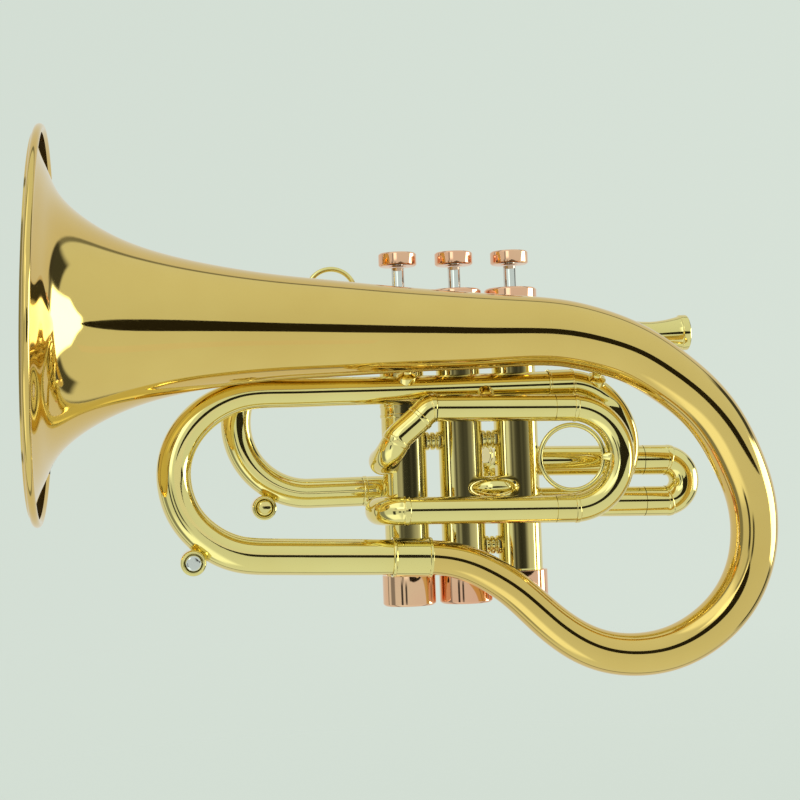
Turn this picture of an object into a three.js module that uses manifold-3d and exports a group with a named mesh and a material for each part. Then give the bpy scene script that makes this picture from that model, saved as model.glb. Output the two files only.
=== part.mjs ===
// Cornet in B flat with a shepherd's-crook bell, three bottom-sprung piston valves, a fixed
// leadpipe, a main tuning slide, three valve slides and two plunger-type water keys.
//
// Frame: millimetres, +Z up along the valves, +X towards the player, -X towards the bell mouth,
// -Y towards the player's left. The origin is the centre of the middle valve's bottom cap face.
// Valve 1 is nearest the player.
import * as THREE from 'three';
import { mergeVertices } from 'three/addons/utils/BufferGeometryUtils.js';
import Module from 'manifold-3d';

const wasm = await Module();
wasm.setup();

// ---------- shared dimensions ----------
const VALVE_PITCH = 25.4; // between neighbouring valve axes
const VALVE_X = { 1: VALVE_PITCH, 2: 0, 3: -VALVE_PITCH };
const GAP = 0.3; // clearance between neighbouring pieces
const CLEAR = 0.4; // how far a trimming shape stands off the neighbour
const SHOULDER = 0.4; // from a slide's seam to where its leg has widened into the bow
const WALL = 0.6; // usual tube wall
const SIDES = 8; // facets round a tube
const BELL_SIDES = 16; // facets round the bell
const CUT_SIDES = 18; // facets round a trimming shape

// ---------- valves ----------
const CASING = { r: 9.8, bore: 8.35, bottom: 2.4, top: 133.1, bandR: 10.25 };
const CAP = { r: 11.7, bore: 10.12, bottomHeight: 13.4, topSkirt: 129.6, topRim: 139.2 };
// well in the top cap, and the hole through its floor for the stem
const WELL = { r: 9.3, floor: 134.6, hole: 3.3 };
const CAP_FELT = { inner: 3.4, outer: 8.6, top: 136.1 };
const STEM_R = 2.8;
const BUTTON = { r: 8.45, bottom: 149.8, top: 156.0 };
const PISTON = { r: 8.05, bottom: 32.0, top: 84.0, stroke: 13.4, pocketR: 6.9, pocketDepth: 4 };
const SPRING = { r: 6.2, wireR: 0.45, bottom: 3.4, topGap: 0.9, turns: 4.5, stepsPerTurn: 8 };
const PASSAGE_R = 4.2; // passages in the pistons
const CASING_PORT_R = 5.0;
const PORT_REACH = 13; // length of the port and passage cutters, from the valve axis

// ---------- tube runs ----------
const KNUCKLE_32_Z = 41.0; // link between casings 3 and 2
const KNUCKLE_21_Z = 50.5; // link between casings 2 and 1
const SLIDE_SLOPE = -0.027; // rise of the first and third slides per millimetre of +X
const sloped = (atX, height) => (x) => height + SLIDE_SLOPE * (x - atX);
const level = (height) => () => height;

// Slides: tubeR is the fixed sleeves' outer radius. legStart to seam is the part of each leg
// inside its sleeve; upperZ and lowerZ give the leg heights.
const THIRD = {
  y: -25.7, tubeR: 5.95, upperZ: sloped(16, 85.0), lowerZ: sloped(8, 41.15),
  legStart: 2, upperSeam: 37.0, lowerSeam: 35.7,
  bowX: 44.25, bowSteps: 10, bowR: 5.95, legR: 5.15, bore: 4.65,
};
const FIRST = {
  y: 6.0, tubeR: 6.75, upperZ: sloped(67, 60.65), lowerZ: sloped(67, 41.85),
  legStart: 47, upperSeam: 84.8, lowerSeam: 84.8,
  bowX: 95.05, bowSteps: 8, bowR: 6.8, legR: 5.83, bore: 5.3,
};
// Laid out along X like the others, then turned to its azimuth about the valve 2 axis.
const SECOND = {
  y: 0, tubeR: 5.5, upperZ: level(65.0), lowerZ: level(47.0),
  legStart: 11.5, upperSeam: 25, lowerSeam: 25,
  bowX: 30, bowSteps: 8, bowR: 5.5, legR: 4.7, bore: 4.2,
  azimuth: 60,
};
// The upper leg runs inside the leadpipe; the lower leg slips over the fixed tube.
const MAIN = { y: 18.5, r: 6.7, upperZ: 114.7, lowerZ: 50.6, upperSeam: -62.4, lowerSeam: -42.6 };
const LEAD = { levelEnd: -38, slope: 0.0279, end: 86.2 };
const leadZ = (x) => MAIN.upperZ + Math.max(0, x - LEAD.levelEnd) * LEAD.slope;

// Ports of each valve: azimuth in degrees about the valve axis, height.
const PORTS = {
  1: { in: [-125, KNUCKLE_21_Z], out: [-42, 40.2], up: [30, 61.2], low: [30, 42.5] },
  2: {
    in: [180, KNUCKLE_32_Z], out: [-55, KNUCKLE_21_Z],
    up: [SECOND.azimuth, SECOND.upperZ()], low: [SECOND.azimuth, SECOND.lowerZ()],
  },
  3: { in: [90, MAIN.lowerZ], out: [0, KNUCKLE_32_Z], up: [200, 63.9], low: [200, 42.4] },
};

// ---------- bell and branch ----------
const BELL_Y = -30;
const BELL_SLOPE = -0.0385; // rise of the bell axis per millimetre of +X
const FLARE_WALL = 0.75;
const CROOK_WALL = 0.7;
const MOUTH_SHIFT = -0.74; // along the axis, from the first outer section to the mouth edge
// Bell flare: X, axis height, outer radius.
const FLARE = [
  [-182.35, 124.6, 79.6], [-181.5, 124.62, 75.0], [-180.1, 124.65, 70.0], [-178.0, 124.65, 65.0],
  [-175.9, 124.65, 60.0], [-173.2, 124.6, 55.0], [-169.3, 124.5, 50.0], [-162.0, 124.3, 44.9],
  [-154.2, 124.05, 39.9], [-143.9, 123.78, 34.9], [-131.5, 123.5, 30.7], [-118.0, 123.1, 27.5],
  [-100.0, 122.4, 24.5], [-72.7, 121.3, 21.55], [-40.0, 119.93, 19.1], [-17.0, 119.05, 17.55],
  [9.2, 118.06, 16.1],
];
// Rolled rim: shift along the axis from the first flare section, radius.
const RIM = [[2.2, 79.9], [3.55, 81.0], [3.4, 82.4], [2.0, 83.2], [0.3, 82.8], [MOUTH_SHIFT, 81.7]];
// The path tables below hold X, Y, Z, outer radius.
// Bell stem, crook and tail.
const CROOK = [
  [31.2, -30.0, 117.4, 14.85], [43.0, -30.0, 115.9, 14.4], [54.0, -29.8, 113.4, 14.05],
  [64.5, -29.5, 110.2, 13.6], [74.5, -29.1, 105.8, 13.15], [87.7, -28.6, 96.8, 12.6],
  [99.0, -28.3, 88.1, 12.15], [108.0, -27.8, 78.1, 11.85], [114.8, -27.3, 67.1, 11.6],
  [119.9, -26.8, 55.8, 11.3], [123.8, -26.2, 44.1, 10.85], [125.4, -25.6, 27.8, 10.4],
  [122.6, -24.9, 11.3, 10.1], [114.6, -24.2, -3.7, 9.88], [102.0, -23.5, -15.3, 9.8],
  [86.4, -22.8, -22.6, 9.6], [69.4, -22.2, -24.5, 9.3], [53.1, -21.5, -21.4, 9.03],
  [39.2, -20.9, -13.6, 8.7], [27.5, -20.7, -3.4, 8.35], [14.9, -20.6, 8.1, 8.0],
  [7.6, -20.4, 12.9, 7.85], [-1.7, -20.1, 17.8, 7.7], [-11.0, -19.6, 20.6, 7.57],
  [-18.2, -19.25, 21.5, 7.5], [-26.5, -19.2, 21.94, 7.5],
];
const BELL_PATH = [...FLARE.map(([x, z, r]) => [x, BELL_Y, z, r]), ...CROOK];
// Front bow and the branch above it.
const FRONT_BOW = [
  [-27.1, -19.2, 21.97, 7.5], [-35.0, -19.1, 22.34, 7.5], [-45.0, -18.9, 22.8, 7.74],
  [-75.0, -18.6, 24.2, 7.82], [-90.0, -18.4, 25.0, 7.84], [-98.4, -18.4, 25.9, 7.84],
  [-107.1, -18.2, 28.8, 7.8], [-114.4, -18.0, 33.5, 7.65], [-120.4, -17.8, 39.6, 7.5],
  [-124.6, -17.6, 46.7, 7.4], [-126.8, -17.4, 54.5, 7.35], [-127.3, -17.2, 62.5, 7.3],
  [-125.8, -17.0, 70.1, 7.26], [-122.4, -16.8, 77.2, 7.2], [-117.5, -16.6, 83.3, 7.1],
  [-111.4, -16.4, 88.3, 6.95], [-105.0, -16.3, 91.6, 6.8], [-98.4, -16.2, 93.8, 6.66],
  [-91.0, -16.2, 94.7, 6.54], [-81.0, -16.2, 94.75, 6.45], [-48.0, -16.2, 94.5, 6.15],
  [-15.6, -16.2, 94.5, 5.97], [42.3, -16.2, 94.85, 5.93],
];
const REAR_CROOK = [
  [42.9, -16.2, 94.86, 5.93], [49.0, -16.2, 94.8, 5.95], [53.4, -16.0, 93.8, 5.96],
  [59.9, -15.0, 90.3, 5.97], [65.5, -14.1, 85.2, 5.98], [69.5, -13.5, 79.0, 5.98],
  [71.7, -13.3, 72.0, 5.98], [71.8, -13.1, 64.6, 5.98], [69.5, -13.0, 55.9, 5.98],
  [65.0, -12.9, 49.4, 5.98], [59.3, -12.9, 44.6, 5.98], [52.5, -13.0, 41.6, 5.98],
  [45.5, -12.9, 40.5, 5.96], [38.8, -11.2, 40.2, 5.92], [34.2, -8.3, 40.2, 5.9],
  [31.0, -5.6, 40.2, 5.9],
];

// ---------- materials ----------
const BRASS = { color: 0xd6cf86, roughness: 0.12, metalness: 1 };
const GOLD_BRASS = { color: 0xcdb767, roughness: 0.1, metalness: 1 };
const COPPER = { color: 0xdca88a, roughness: 0.12, metalness: 1 };
const NICKEL = { color: 0xc9cfc9, roughness: 0.15, metalness: 1 };
const STEEL = { color: 0xa9adb0, roughness: 0.3, metalness: 1 };
const FELT = { color: 0x2c2a2a, roughness: 0.95, metalness: 0 };

const cornet = new THREE.Group();

function add(name, geometry, look = BRASS) {
  geometry.computeVertexNormals();
  const mesh = new THREE.Mesh(geometry, new THREE.MeshStandardMaterial(look));
  mesh.name = name;
  cornet.add(mesh);
}

// ---------- surfaces ----------
// Turns every triangle over if the closed surface faces inwards.
function faceOutwards(geometry) {
  const { position } = geometry.attributes;
  const index = Array.from(geometry.index.array);
  const corner = (i) => new THREE.Vector3().fromBufferAttribute(position, index[i]);
  let volume = 0;
  for (let i = 0; i < index.length; i += 3) {
    volume += corner(i).dot(corner(i + 1).cross(corner(i + 2)));
  }
  if (volume < 0) {
    for (let i = 0; i < index.length; i += 3) {
      [index[i + 1], index[i + 2]] = [index[i + 2], index[i + 1]];
    }
  }
  geometry.setIndex(index);
  return geometry;
}

function surface(verts, faces) {
  const geometry = new THREE.BufferGeometry();
  geometry.setAttribute('position', new THREE.Float32BufferAttribute(verts.flat(), 3));
  geometry.setIndex(faces.flat());
  return faceOutwards(geometry);
}

// Axes of the cross-section at each station of a path, carried along without twist.
function frames(path) {
  const centres = path.map(([x, y, z]) => new THREE.Vector3(x, y, z));
  const tangents = centres.map((_, i) => {
    const before = centres[Math.max(0, i - 1)];
    const after = centres[Math.min(centres.length - 1, i + 1)];
    return after.clone().sub(before).normalize();
  });
  const squareTo = (v, tangent) => v.clone().addScaledVector(tangent, -v.dot(tangent)).normalize();
  const seed = Math.abs(tangents[0].y) < 0.9
    ? new THREE.Vector3(0, 1, 0)
    : new THREE.Vector3(0, 0, 1);
  let normal = squareTo(seed, tangents[0]);
  return centres.map((centre, i) => {
    const tangent = tangents[i];
    if (i > 0) {
      const turn = new THREE.Quaternion().setFromUnitVectors(tangents[i - 1], tangent);
      normal = squareTo(normal.clone().applyQuaternion(turn), tangent);
    }
    return { centre, tangent, normal, binormal: tangent.clone().cross(normal) };
  });
}

// Appends a ring of vertices, moved along the tangent by shift; returns its first index.
function ring(frame, radius, sides, verts, shift = 0) {
  const start = verts.length;
  for (let k = 0; k < sides; k++) {
    const angle = (2 * Math.PI * k) / sides;
    const point = frame.centre.clone()
      .addScaledVector(frame.tangent, shift)
      .addScaledVector(frame.normal, radius * Math.cos(angle))
      .addScaledVector(frame.binormal, radius * Math.sin(angle));
    verts.push(point.toArray());
  }
  return start;
}

// Joins two rings with triangles.
function band(a, b, sides, faces) {
  for (let k = 0; k < sides; k++) {
    const next = (k + 1) % sides;
    faces.push([a + k, b + k, b + next], [a + k, b + next, a + next]);
  }
}

// Bands an outer skin and an inner skin along their whole length and closes the far end.
function bandSkins(outer, inner, sides, faces) {
  for (let i = 0; i + 1 < outer.length; i++) {
    band(outer[i], outer[i + 1], sides, faces);
    band(inner[i + 1], inner[i], sides, faces);
  }
  band(outer.at(-1), inner.at(-1), sides, faces);
}

// Hollow tube along a path; wall is one thickness, or one per station.
function tube(path, wall = WALL) {
  const verts = [];
  const faces = [];
  const sections = frames(path);
  const wallAt = (i) => (Array.isArray(wall) ? wall[i] : wall);
  const outer = sections.map((s, i) => ring(s, path[i][3], SIDES, verts));
  const inner = sections.map((s, i) => ring(s, path[i][3] - wallAt(i), SIDES, verts));
  bandSkins(outer, inner, SIDES, faces);
  band(inner[0], outer[0], SIDES, faces);
  return surface(verts, faces);
}

const tubeWithBore = (path, bore) => tube(path, path.map(([, , , r]) => r - bore));

// Solid rod along a path.
function rod(path, sides) {
  const verts = [];
  const faces = [];
  const rings = frames(path).map((s, i) => ring(s, path[i][3], sides, verts));
  for (let i = 0; i + 1 < rings.length; i++) band(rings[i], rings[i + 1], sides, faces);
  const first = verts.length;
  const last = first + 1;
  verts.push(path[0].slice(0, 3), path.at(-1).slice(0, 3));
  for (let k = 0; k < sides; k++) {
    const next = (k + 1) % sides;
    faces.push([first, rings[0] + k, rings[0] + next]);
    faces.push([last, rings.at(-1) + next, rings.at(-1) + k]);
  }
  return surface(verts, faces);
}

function weld(geometry) {
  geometry.deleteAttribute('normal');
  geometry.deleteAttribute('uv');
  return mergeVertices(geometry, 1e-4);
}

// Moves a shape built about +Z onto another axis and origin.
function place(geometry, origin, axis) {
  const up = new THREE.Vector3(0, 0, 1);
  const direction = new THREE.Vector3(...axis).normalize();
  geometry.applyQuaternion(new THREE.Quaternion().setFromUnitVectors(up, direction));
  return geometry.translate(...origin);
}

// Finger ring standing in an XZ plane.
function fingerRing(centre, radius, wireR) {
  return place(weld(new THREE.TorusGeometry(radius, wireR, 6, 20)), centre, [0, 1, 0]);
}

// Body of revolution: an outline of [radius, height] turned about an axis through the origin
// given. An outline that starts off the axis is closed on itself.
function turned(outline, sides, origin, axis = [0, 0, 1]) {
  const closed = outline[0][0] > 1e-6 ? [...outline, outline[0]] : outline;
  const points = closed.map(([r, height]) => new THREE.Vector2(r, height));
  const geometry = weld(new THREE.LatheGeometry(points, sides));
  const index = geometry.index.array;
  const kept = [];
  for (let i = 0; i < index.length; i += 3) {
    const [a, b, c] = index.slice(i, i + 3);
    if (a !== b && b !== c && a !== c) kept.push(a, b, c);
  }
  geometry.setIndex(kept);
  geometry.rotateX(Math.PI / 2); // lathe axis Y becomes Z
  return faceOutwards(place(geometry, origin, axis));
}

// Completes an outline that is symmetric about height 0 from its lower half.
const mirrored = (half) => [...half, ...half.map(([r, height]) => [r, -height]).reverse()];

// ---------- solid operations ----------
function toSolid(geometry) {
  return new wasm.Manifold(new wasm.Mesh({
    numProp: 3,
    vertProperties: new Float32Array(geometry.attributes.position.array),
    triVerts: new Uint32Array(geometry.index.array),
  }));
}

function toGeometry(solid) {
  const mesh = solid.getMesh();
  const geometry = new THREE.BufferGeometry();
  const positions = new Float32Array(mesh.vertProperties);
  geometry.setAttribute('position', new THREE.BufferAttribute(positions, 3));
  geometry.setIndex(Array.from(mesh.triVerts));
  return geometry;
}

const cut = (geometry, ...tools) => toGeometry(
  tools.reduce((solid, tool) => solid.subtract(toSolid(tool)), toSolid(geometry)),
);
const join = (a, b) => toGeometry(toSolid(a).add(toSolid(b)));

// Cuts, then keeps only the largest separate body.
function trim(geometry, ...tools) {
  const parts = toSolid(cut(geometry, ...tools)).decompose();
  return toGeometry(parts.reduce((best, part) => (part.volume() > best.volume() ? part : best)));
}

// Trimming shape that stands off a neighbour's path.
const around = (path, clearance = CLEAR, sides = CUT_SIDES) => rod(
  path.map(([x, y, z, r]) => [x, y, z, r + clearance]),
  sides,
);
const aroundCasing = (n) => around(
  [[VALVE_X[n], 0, -5, CASING.r], [VALVE_X[n], 0, 145, CASING.r]],
  CLEAR,
  20,
);

// ---------- path helpers ----------
const radians = THREE.MathUtils.degToRad;
const heading = (azimuth) => [Math.cos(radians(azimuth)), Math.sin(radians(azimuth))];

// Station at a distance and azimuth from a valve's axis.
function fromValve(n, azimuth, distance, z, r) {
  const [x, y] = heading(azimuth);
  return [VALVE_X[n] + distance * x, distance * y, z, r];
}

const alongX = (xs, y, zAt, r) => xs.map((x) => [x, y, zAt(x), r]);

// Semicircle that joins two legs of a slide.
const bowBetween = (x, upperZ, lowerZ) => ({
  x,
  z: (upperZ + lowerZ) / 2,
  radius: (upperZ - lowerZ) / 2,
});
const bowOf = (slide) => bowBetween(slide.bowX, slide.upperZ(slide.bowX), slide.lowerZ(slide.bowX));
const MAIN_BOW = bowBetween(-66.5, MAIN.upperZ, MAIN.lowerZ);

// Stations on part of a bow, from one angle to another in degrees.
function arc(bow, from, to, steps, y, r) {
  return Array.from({ length: steps + 1 }, (_, i) => {
    const [across, up] = heading(from + ((to - from) * i) / steps);
    return [bow.x + bow.radius * across, y, bow.z + bow.radius * up, r];
  });
}

// Path of a moving valve slide: thin legs inside the sleeves, joined by a bow.
function slidePath(slide) {
  const { y, upperZ, lowerZ, legStart, upperSeam, lowerSeam, legR, bowR } = slide;
  return [
    ...alongX([legStart, upperSeam + GAP], y, upperZ, legR),
    ...alongX([upperSeam + SHOULDER], y, upperZ, bowR),
    ...arc(bowOf(slide), 90, -90, slide.bowSteps, y, bowR),
    ...alongX([lowerSeam + SHOULDER], y, lowerZ, bowR),
    ...alongX([lowerSeam + GAP, legStart], y, lowerZ, legR),
  ];
}

// ---------- bell ----------
// Offset square to the flare: inset of the radius, and shift along the axis.
function flareOffset(i) {
  const before = FLARE[Math.max(0, i - 1)];
  const after = FLARE[Math.min(FLARE.length - 1, i + 1)];
  const slope = (after[2] - before[2]) / (after[0] - before[0]);
  const length = Math.hypot(1, slope);
  return {
    inset: FLARE_WALL / length,
    shift: i === 0 ? MOUTH_SHIFT : (slope / length) * FLARE_WALL,
  };
}

function addBell() {
  const verts = [];
  const faces = [];
  const sections = frames(BELL_PATH);
  // all flare sections but the last are square to the straight bell axis
  const tangent = new THREE.Vector3(1, 0, BELL_SLOPE).normalize();
  const normal = new THREE.Vector3(0, 1, 0);
  const binormal = tangent.clone().cross(normal);
  for (const section of sections.slice(0, FLARE.length - 1)) {
    Object.assign(section, { tangent, normal, binormal });
  }
  const radiusAt = (i) => BELL_PATH[i][3];
  const outer = sections.map((s, i) => ring(s, radiusAt(i), BELL_SIDES, verts));
  const inner = sections.map((s, i) => {
    const { inset, shift } = i < FLARE.length ? flareOffset(i) : { inset: CROOK_WALL, shift: 0 };
    return ring(s, radiusAt(i) - inset, BELL_SIDES, verts, shift);
  });
  const rim = RIM.map(([shift, r]) => ring(sections[0], r, BELL_SIDES, verts, shift));
  bandSkins(outer, inner, BELL_SIDES, faces);
  band(rim[0], outer[0], BELL_SIDES, faces);
  for (let i = 1; i < rim.length; i++) band(rim[i], rim[i - 1], BELL_SIDES, faces);
  band(inner[0], rim.at(-1), BELL_SIDES, faces);
  add('bell', surface(verts, faces), GOLD_BRASS);
}

// ---------- bell branch ----------
function addBranch() {
  const tailHalf = [[7.92, -8.6], [8.7, -8.6], [8.75, -7.4], [8.35, -7.2]];
  add('tail_ferrule', turned(mirrored(tailHalf), 14, [-26.7, -19.2, 21.95], [1, 0, -0.045]));
  add('front_bow', tube(FRONT_BOW));
  const branchHalf = [[6.25, -5.7], [6.75, -5.7], [6.8, -4.9], [6.5, -4.7]];
  add('branch_ferrule', turned(mirrored(branchHalf), 14, [42.6, -16.2, 94.86], [1, 0, 0.004]));
  add('rear_crook', trim(tube(REAR_CROOK), aroundCasing(1)));
}

// ---------- valves ----------
function addCasing(n) {
  const outline = [
    [CASING.bore, CASING.bottom], [CASING.r, CASING.bottom],
    [CASING.r, 82.8], [CASING.bandR, 83.2], [CASING.bandR, 88.2], [CASING.r, 88.6],
    [CASING.r, CASING.top], [CASING.bore, CASING.top],
  ];
  const ports = Object.values(PORTS[n]).map(([azimuth, z]) => rod([
    fromValve(n, azimuth, 0, z, CASING_PORT_R),
    fromValve(n, azimuth, PORT_REACH, z, CASING_PORT_R),
  ], 8));
  add(`valve_casing_${n}`, cut(turned(outline, 16, [VALVE_X[n], 0, 0]), ...ports));
}

// Two cutters that meet on the piston axis and run out to a pair of ports.
function passage(n, a, b, lift, meetingZ) {
  return [a, b].map(([azimuth, portZ]) => {
    const z = portZ + lift;
    const endZ = z + (z - meetingZ) * 0.35; // carries the slant on past the port
    return rod([
      fromValve(n, azimuth, 0, meetingZ, PASSAGE_R),
      fromValve(n, azimuth, PORT_REACH, endZ, PASSAGE_R),
    ], 6);
  });
}

// Piston: a spring pocket below, crossed by three passages. The first is in line with its ports
// when the piston is up, the other two when it is pressed down by the stroke.
function addPiston(n) {
  const { r, top, bottom, stroke, pocketR, pocketDepth } = PISTON;
  const blank = turned([
    [0, top], [r, top], [r, bottom], [pocketR, bottom],
    [pocketR, bottom + pocketDepth], [0, bottom + pocketDepth],
  ], 16, [VALVE_X[n], 0, 0]);
  const ports = PORTS[n];
  const middle = (a, b) => (a[1] + b[1]) / 2 + stroke;
  add(`piston_${n}`, trim(
    blank,
    ...passage(n, ports.in, ports.out, 0, 45.6),
    ...passage(n, ports.in, ports.up, stroke, middle(ports.in, ports.up)),
    ...passage(n, ports.low, ports.out, stroke, middle(ports.low, ports.out)),
  ), NICKEL);
}

function addSpring(n) {
  const height = PISTON.bottom - SPRING.topGap - SPRING.bottom;
  const steps = SPRING.turns * SPRING.stepsPerTurn;
  const coil = Array.from({ length: steps + 1 }, (_, i) => {
    const azimuth = (360 * i) / SPRING.stepsPerTurn;
    return fromValve(n, azimuth, SPRING.r, SPRING.bottom + (height * i) / steps, SPRING.wireR);
  });
  add(`valve_spring_${n}`, rod(coil, 4), STEEL);
}

function addCapsAndButton(n) {
  const origin = [VALVE_X[n], 0, 0];
  add(`bottom_cap_${n}`, turned([
    [0, 0], [11.0, 0], [CAP.r, 0.8], [CAP.r, CAP.bottomHeight],
    [CAP.bore, CAP.bottomHeight], [CAP.bore, 1.9], [0, 1.9],
  ], 16, origin), COPPER);
  const underside = CASING.top + GAP;
  add(`top_cap_${n}`, turned([
    [WELL.hole, underside], [CAP.bore, underside], [CAP.bore, CAP.topSkirt],
    [CAP.r, CAP.topSkirt], [CAP.r, CAP.topRim - 0.5], [11.2, CAP.topRim],
    [WELL.r, CAP.topRim], [WELL.r, WELL.floor], [WELL.hole, WELL.floor],
  ], 16, origin), COPPER);
  const { inner, outer, top: feltTop } = CAP_FELT;
  const feltBottom = WELL.floor + 0.1;
  add(`cap_felt_${n}`, turned(
    [[inner, feltBottom], [outer, feltBottom], [outer, feltTop], [inner, feltTop]],
    12,
    origin,
  ), FELT);
  const stemTop = BUTTON.bottom - GAP;
  add(`valve_stem_${n}`, turned([
    [0, PISTON.top + GAP], [5.5, PISTON.top + GAP], [5.5, PISTON.top + 2.6],
    [STEM_R, PISTON.top + 2.9], [STEM_R, stemTop], [0, stemTop],
  ], 10, origin), NICKEL);
  const { r, bottom, top } = BUTTON;
  add(`finger_button_${n}`, turned([
    [0, bottom], [7.9, bottom], [r, bottom + 0.5], [r, top - 0.7],
    [7.8, top], [6.6, top - 0.2], [0, top - 0.9],
  ], 16, origin), COPPER);
}

// ---------- between the casings ----------
function addCasingLinks() {
  const straight = alongX([-20, -5], 0, level(KNUCKLE_32_Z), 5.4);
  add('knuckle_3_2', trim(tube(straight), aroundCasing(3), aroundCasing(2)));
  // X, Y
  const bend = [
    [4.0, -5.5], [6.9, -9.4], [9.6, -11.5], [12.7, -12.3], [15.8, -11.5], [18.5, -9.4], [21.4, -5.5],
  ].map(([x, y]) => [x, y, KNUCKLE_21_Z, 5.1]);
  add('knuckle_2_1', trim(tube(bend), aroundCasing(2), aroundCasing(1)));
  const spacerHalf = [[0, -4], [4.2, -4], [4.2, -1.9], [3.2, -1.5], [3.2, -1.1], [4.0, -0.7]];
  // letter, the two valves it stands between, height
  for (const [letter, front, rear, z] of [['a', 3, 2, 72], ['b', 2, 1, 72], ['c', 2, 1, 24.8]]) {
    const origin = [(VALVE_X[front] + VALVE_X[rear]) / 2, 0, z];
    const spacer = turned(mirrored(spacerHalf), 10, origin, [1, 0, 0]);
    add(`casing_spacer_${letter}`, cut(spacer, aroundCasing(front), aroundCasing(rear)));
  }
}

// ---------- third valve slide ----------
// Elbow, slanted tube, then two quarter turns that bring it round to the third casing.
function addThirdUpperBranch() {
  const { y, upperZ } = THIRD;
  const r = 6.05;
  const [slantX, slantZ] = [-0.644, -0.765]; // direction of the slanted tube
  const [startX, startZ] = [-31.7, 73.7];
  const reach = 8.3;
  const turnR = 12.85;
  const lastTurnR = 11.5;
  const path = [
    ...alongX([-15.2, -16.0], y, upperZ, r),
    [-17.6, y, 85.4, r], [-19.4, y, 84.3, r], [-21.6, y, 82.1, r], [startX, y, startZ, r],
  ];
  for (let i = 1; i <= 5; i++) {
    const [cos, sin] = heading(18 * i);
    const x = startX + slantX * reach * sin;
    path.push([x, y + turnR * (1 - cos), startZ + slantZ * turnR * sin, r]);
  }
  const [endX, endY, endZ] = path.at(-1);
  for (let i = 1; i <= 4; i++) {
    const [cos, sin] = heading(18 * i);
    path.push([endX + lastTurnR * (1 - cos), endY + lastTurnR * sin, endZ, r]);
  }
  add('third_upper_branch', trim(tube(path, 0.65), aroundCasing(3)));
}

function addThirdLowerBend() {
  const { y, lowerZ } = THIRD;
  const r = 6.15;
  const startX = -29.2;
  const [radiusX, radiusY] = [10.2, 12.1];
  const path = alongX([-28.5, startX], y, lowerZ, r);
  for (let i = 1; i <= 7; i++) {
    const [cos, sin] = heading(-90 - (155 * i) / 7);
    path.push([startX + radiusX * cos, y + radiusY + radiusY * sin, 42.3, r]);
  }
  add('third_lower_bend', trim(tube(path, 0.65), aroundCasing(3)));
}

function addThirdSlide() {
  const { y, tubeR, upperZ, lowerZ, upperSeam, lowerSeam, bore, bowR } = THIRD;
  addThirdUpperBranch();
  add('third_upper_sleeve', tube(alongX([-14.9, upperSeam], y, upperZ, tubeR), 0.5));
  add('third_lower_sleeve', tube(alongX([-28.2, lowerSeam], y, lowerZ, tubeR), 0.5));
  addThirdLowerBend();
  add('third_slide', tubeWithBore(slidePath(THIRD), bore));
  const saddle = rod([[57.9, y, 62.3, 1.7], [61.5, y, 62.3, 2.0]], 8);
  const bowSpace = around(arc(bowOf(THIRD), 45, -45, 5, y, bowR), CLEAR + 0.2);
  add('third_slide_ring', cut(join(fingerRing([44.3, y, 62.45], 14.1, 1.1), saddle), bowSpace));
}

// ---------- first valve slide ----------
function addFirstSlide() {
  const { y, tubeR, upperZ, lowerZ, upperSeam, lowerSeam, bore } = FIRST;
  for (const [side, zAt, seam] of [['upper', upperZ, upperSeam], ['lower', lowerZ, lowerSeam]]) {
    add(`first_${side}_sleeve`, trim(tube(alongX([29, seam], y, zAt, tubeR)), aroundCasing(1)));
  }
  add('first_slide', tubeWithBore(slidePath(FIRST), bore));
}

// ---------- second valve slide, towards +Y and +X ----------
function addSecondSlide() {
  const { y, tubeR, upperZ, lowerZ, upperSeam, lowerSeam, bore, azimuth } = SECOND;
  const swing = (path) => path.map(([x, , z, r]) => fromValve(2, azimuth, x, z, r));
  for (const [side, zAt, seam] of [['upper', upperZ, upperSeam], ['lower', lowerZ, lowerSeam]]) {
    const sleeve = tube(swing(alongX([6, seam], y, zAt, tubeR)), 0.5);
    add(`second_${side}_sleeve`, trim(sleeve, aroundCasing(2)));
  }
  const bow = tubeWithBore(swing(slidePath(SECOND)), bore);
  const [dirX, dirY] = heading(azimuth);
  const knobStart = 43.6; // from the valve axis
  const knob = turned(
    [[0, 0], [2.0, 0], [2.0, 2.5], [3.6, 3.2], [4.2, 4.6], [3.6, 6.0], [0, 6.4]],
    12,
    [dirX * knobStart, dirY * knobStart, bowOf(SECOND).z],
    [dirX, dirY, 0],
  );
  add('second_slide', trim(join(bow, knob)));
}

// ---------- leadpipe, receiver and main tuning slide ----------
function addLeadpipe() {
  // X, outer radius, wall
  const stations = [
    [MAIN.upperSeam, MAIN.r, 0.6], [-39, MAIN.r, 0.6], [LEAD.levelEnd, MAIN.r, 1.35],
    [-10, 6.3, 1.2], [30, 5.9, 1.0], [LEAD.end, 5.6, 0.9],
  ];
  const path = stations.map(([x, r]) => [x, MAIN.y, leadZ(x), r]);
  add('leadpipe', tube(path, stations.map(([, , wall]) => wall)));
  add('receiver', turned([
    [5.0, 0], [6.8, 0], [6.75, 1.2], [6.15, 4.5], [5.83, 8.7], [5.95, 12], [6.5, 17],
    [7.45, 21.4], [7.75, 22.6], [8.25, 23.0], [8.3, 26.0], [8.0, 26.4],
    [5.6, 26.4], [5.2, 24], [4.6, 4.0],
  ], 14, [LEAD.end + GAP, MAIN.y, leadZ(LEAD.end)], [1, 0, LEAD.slope]));
}

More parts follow.
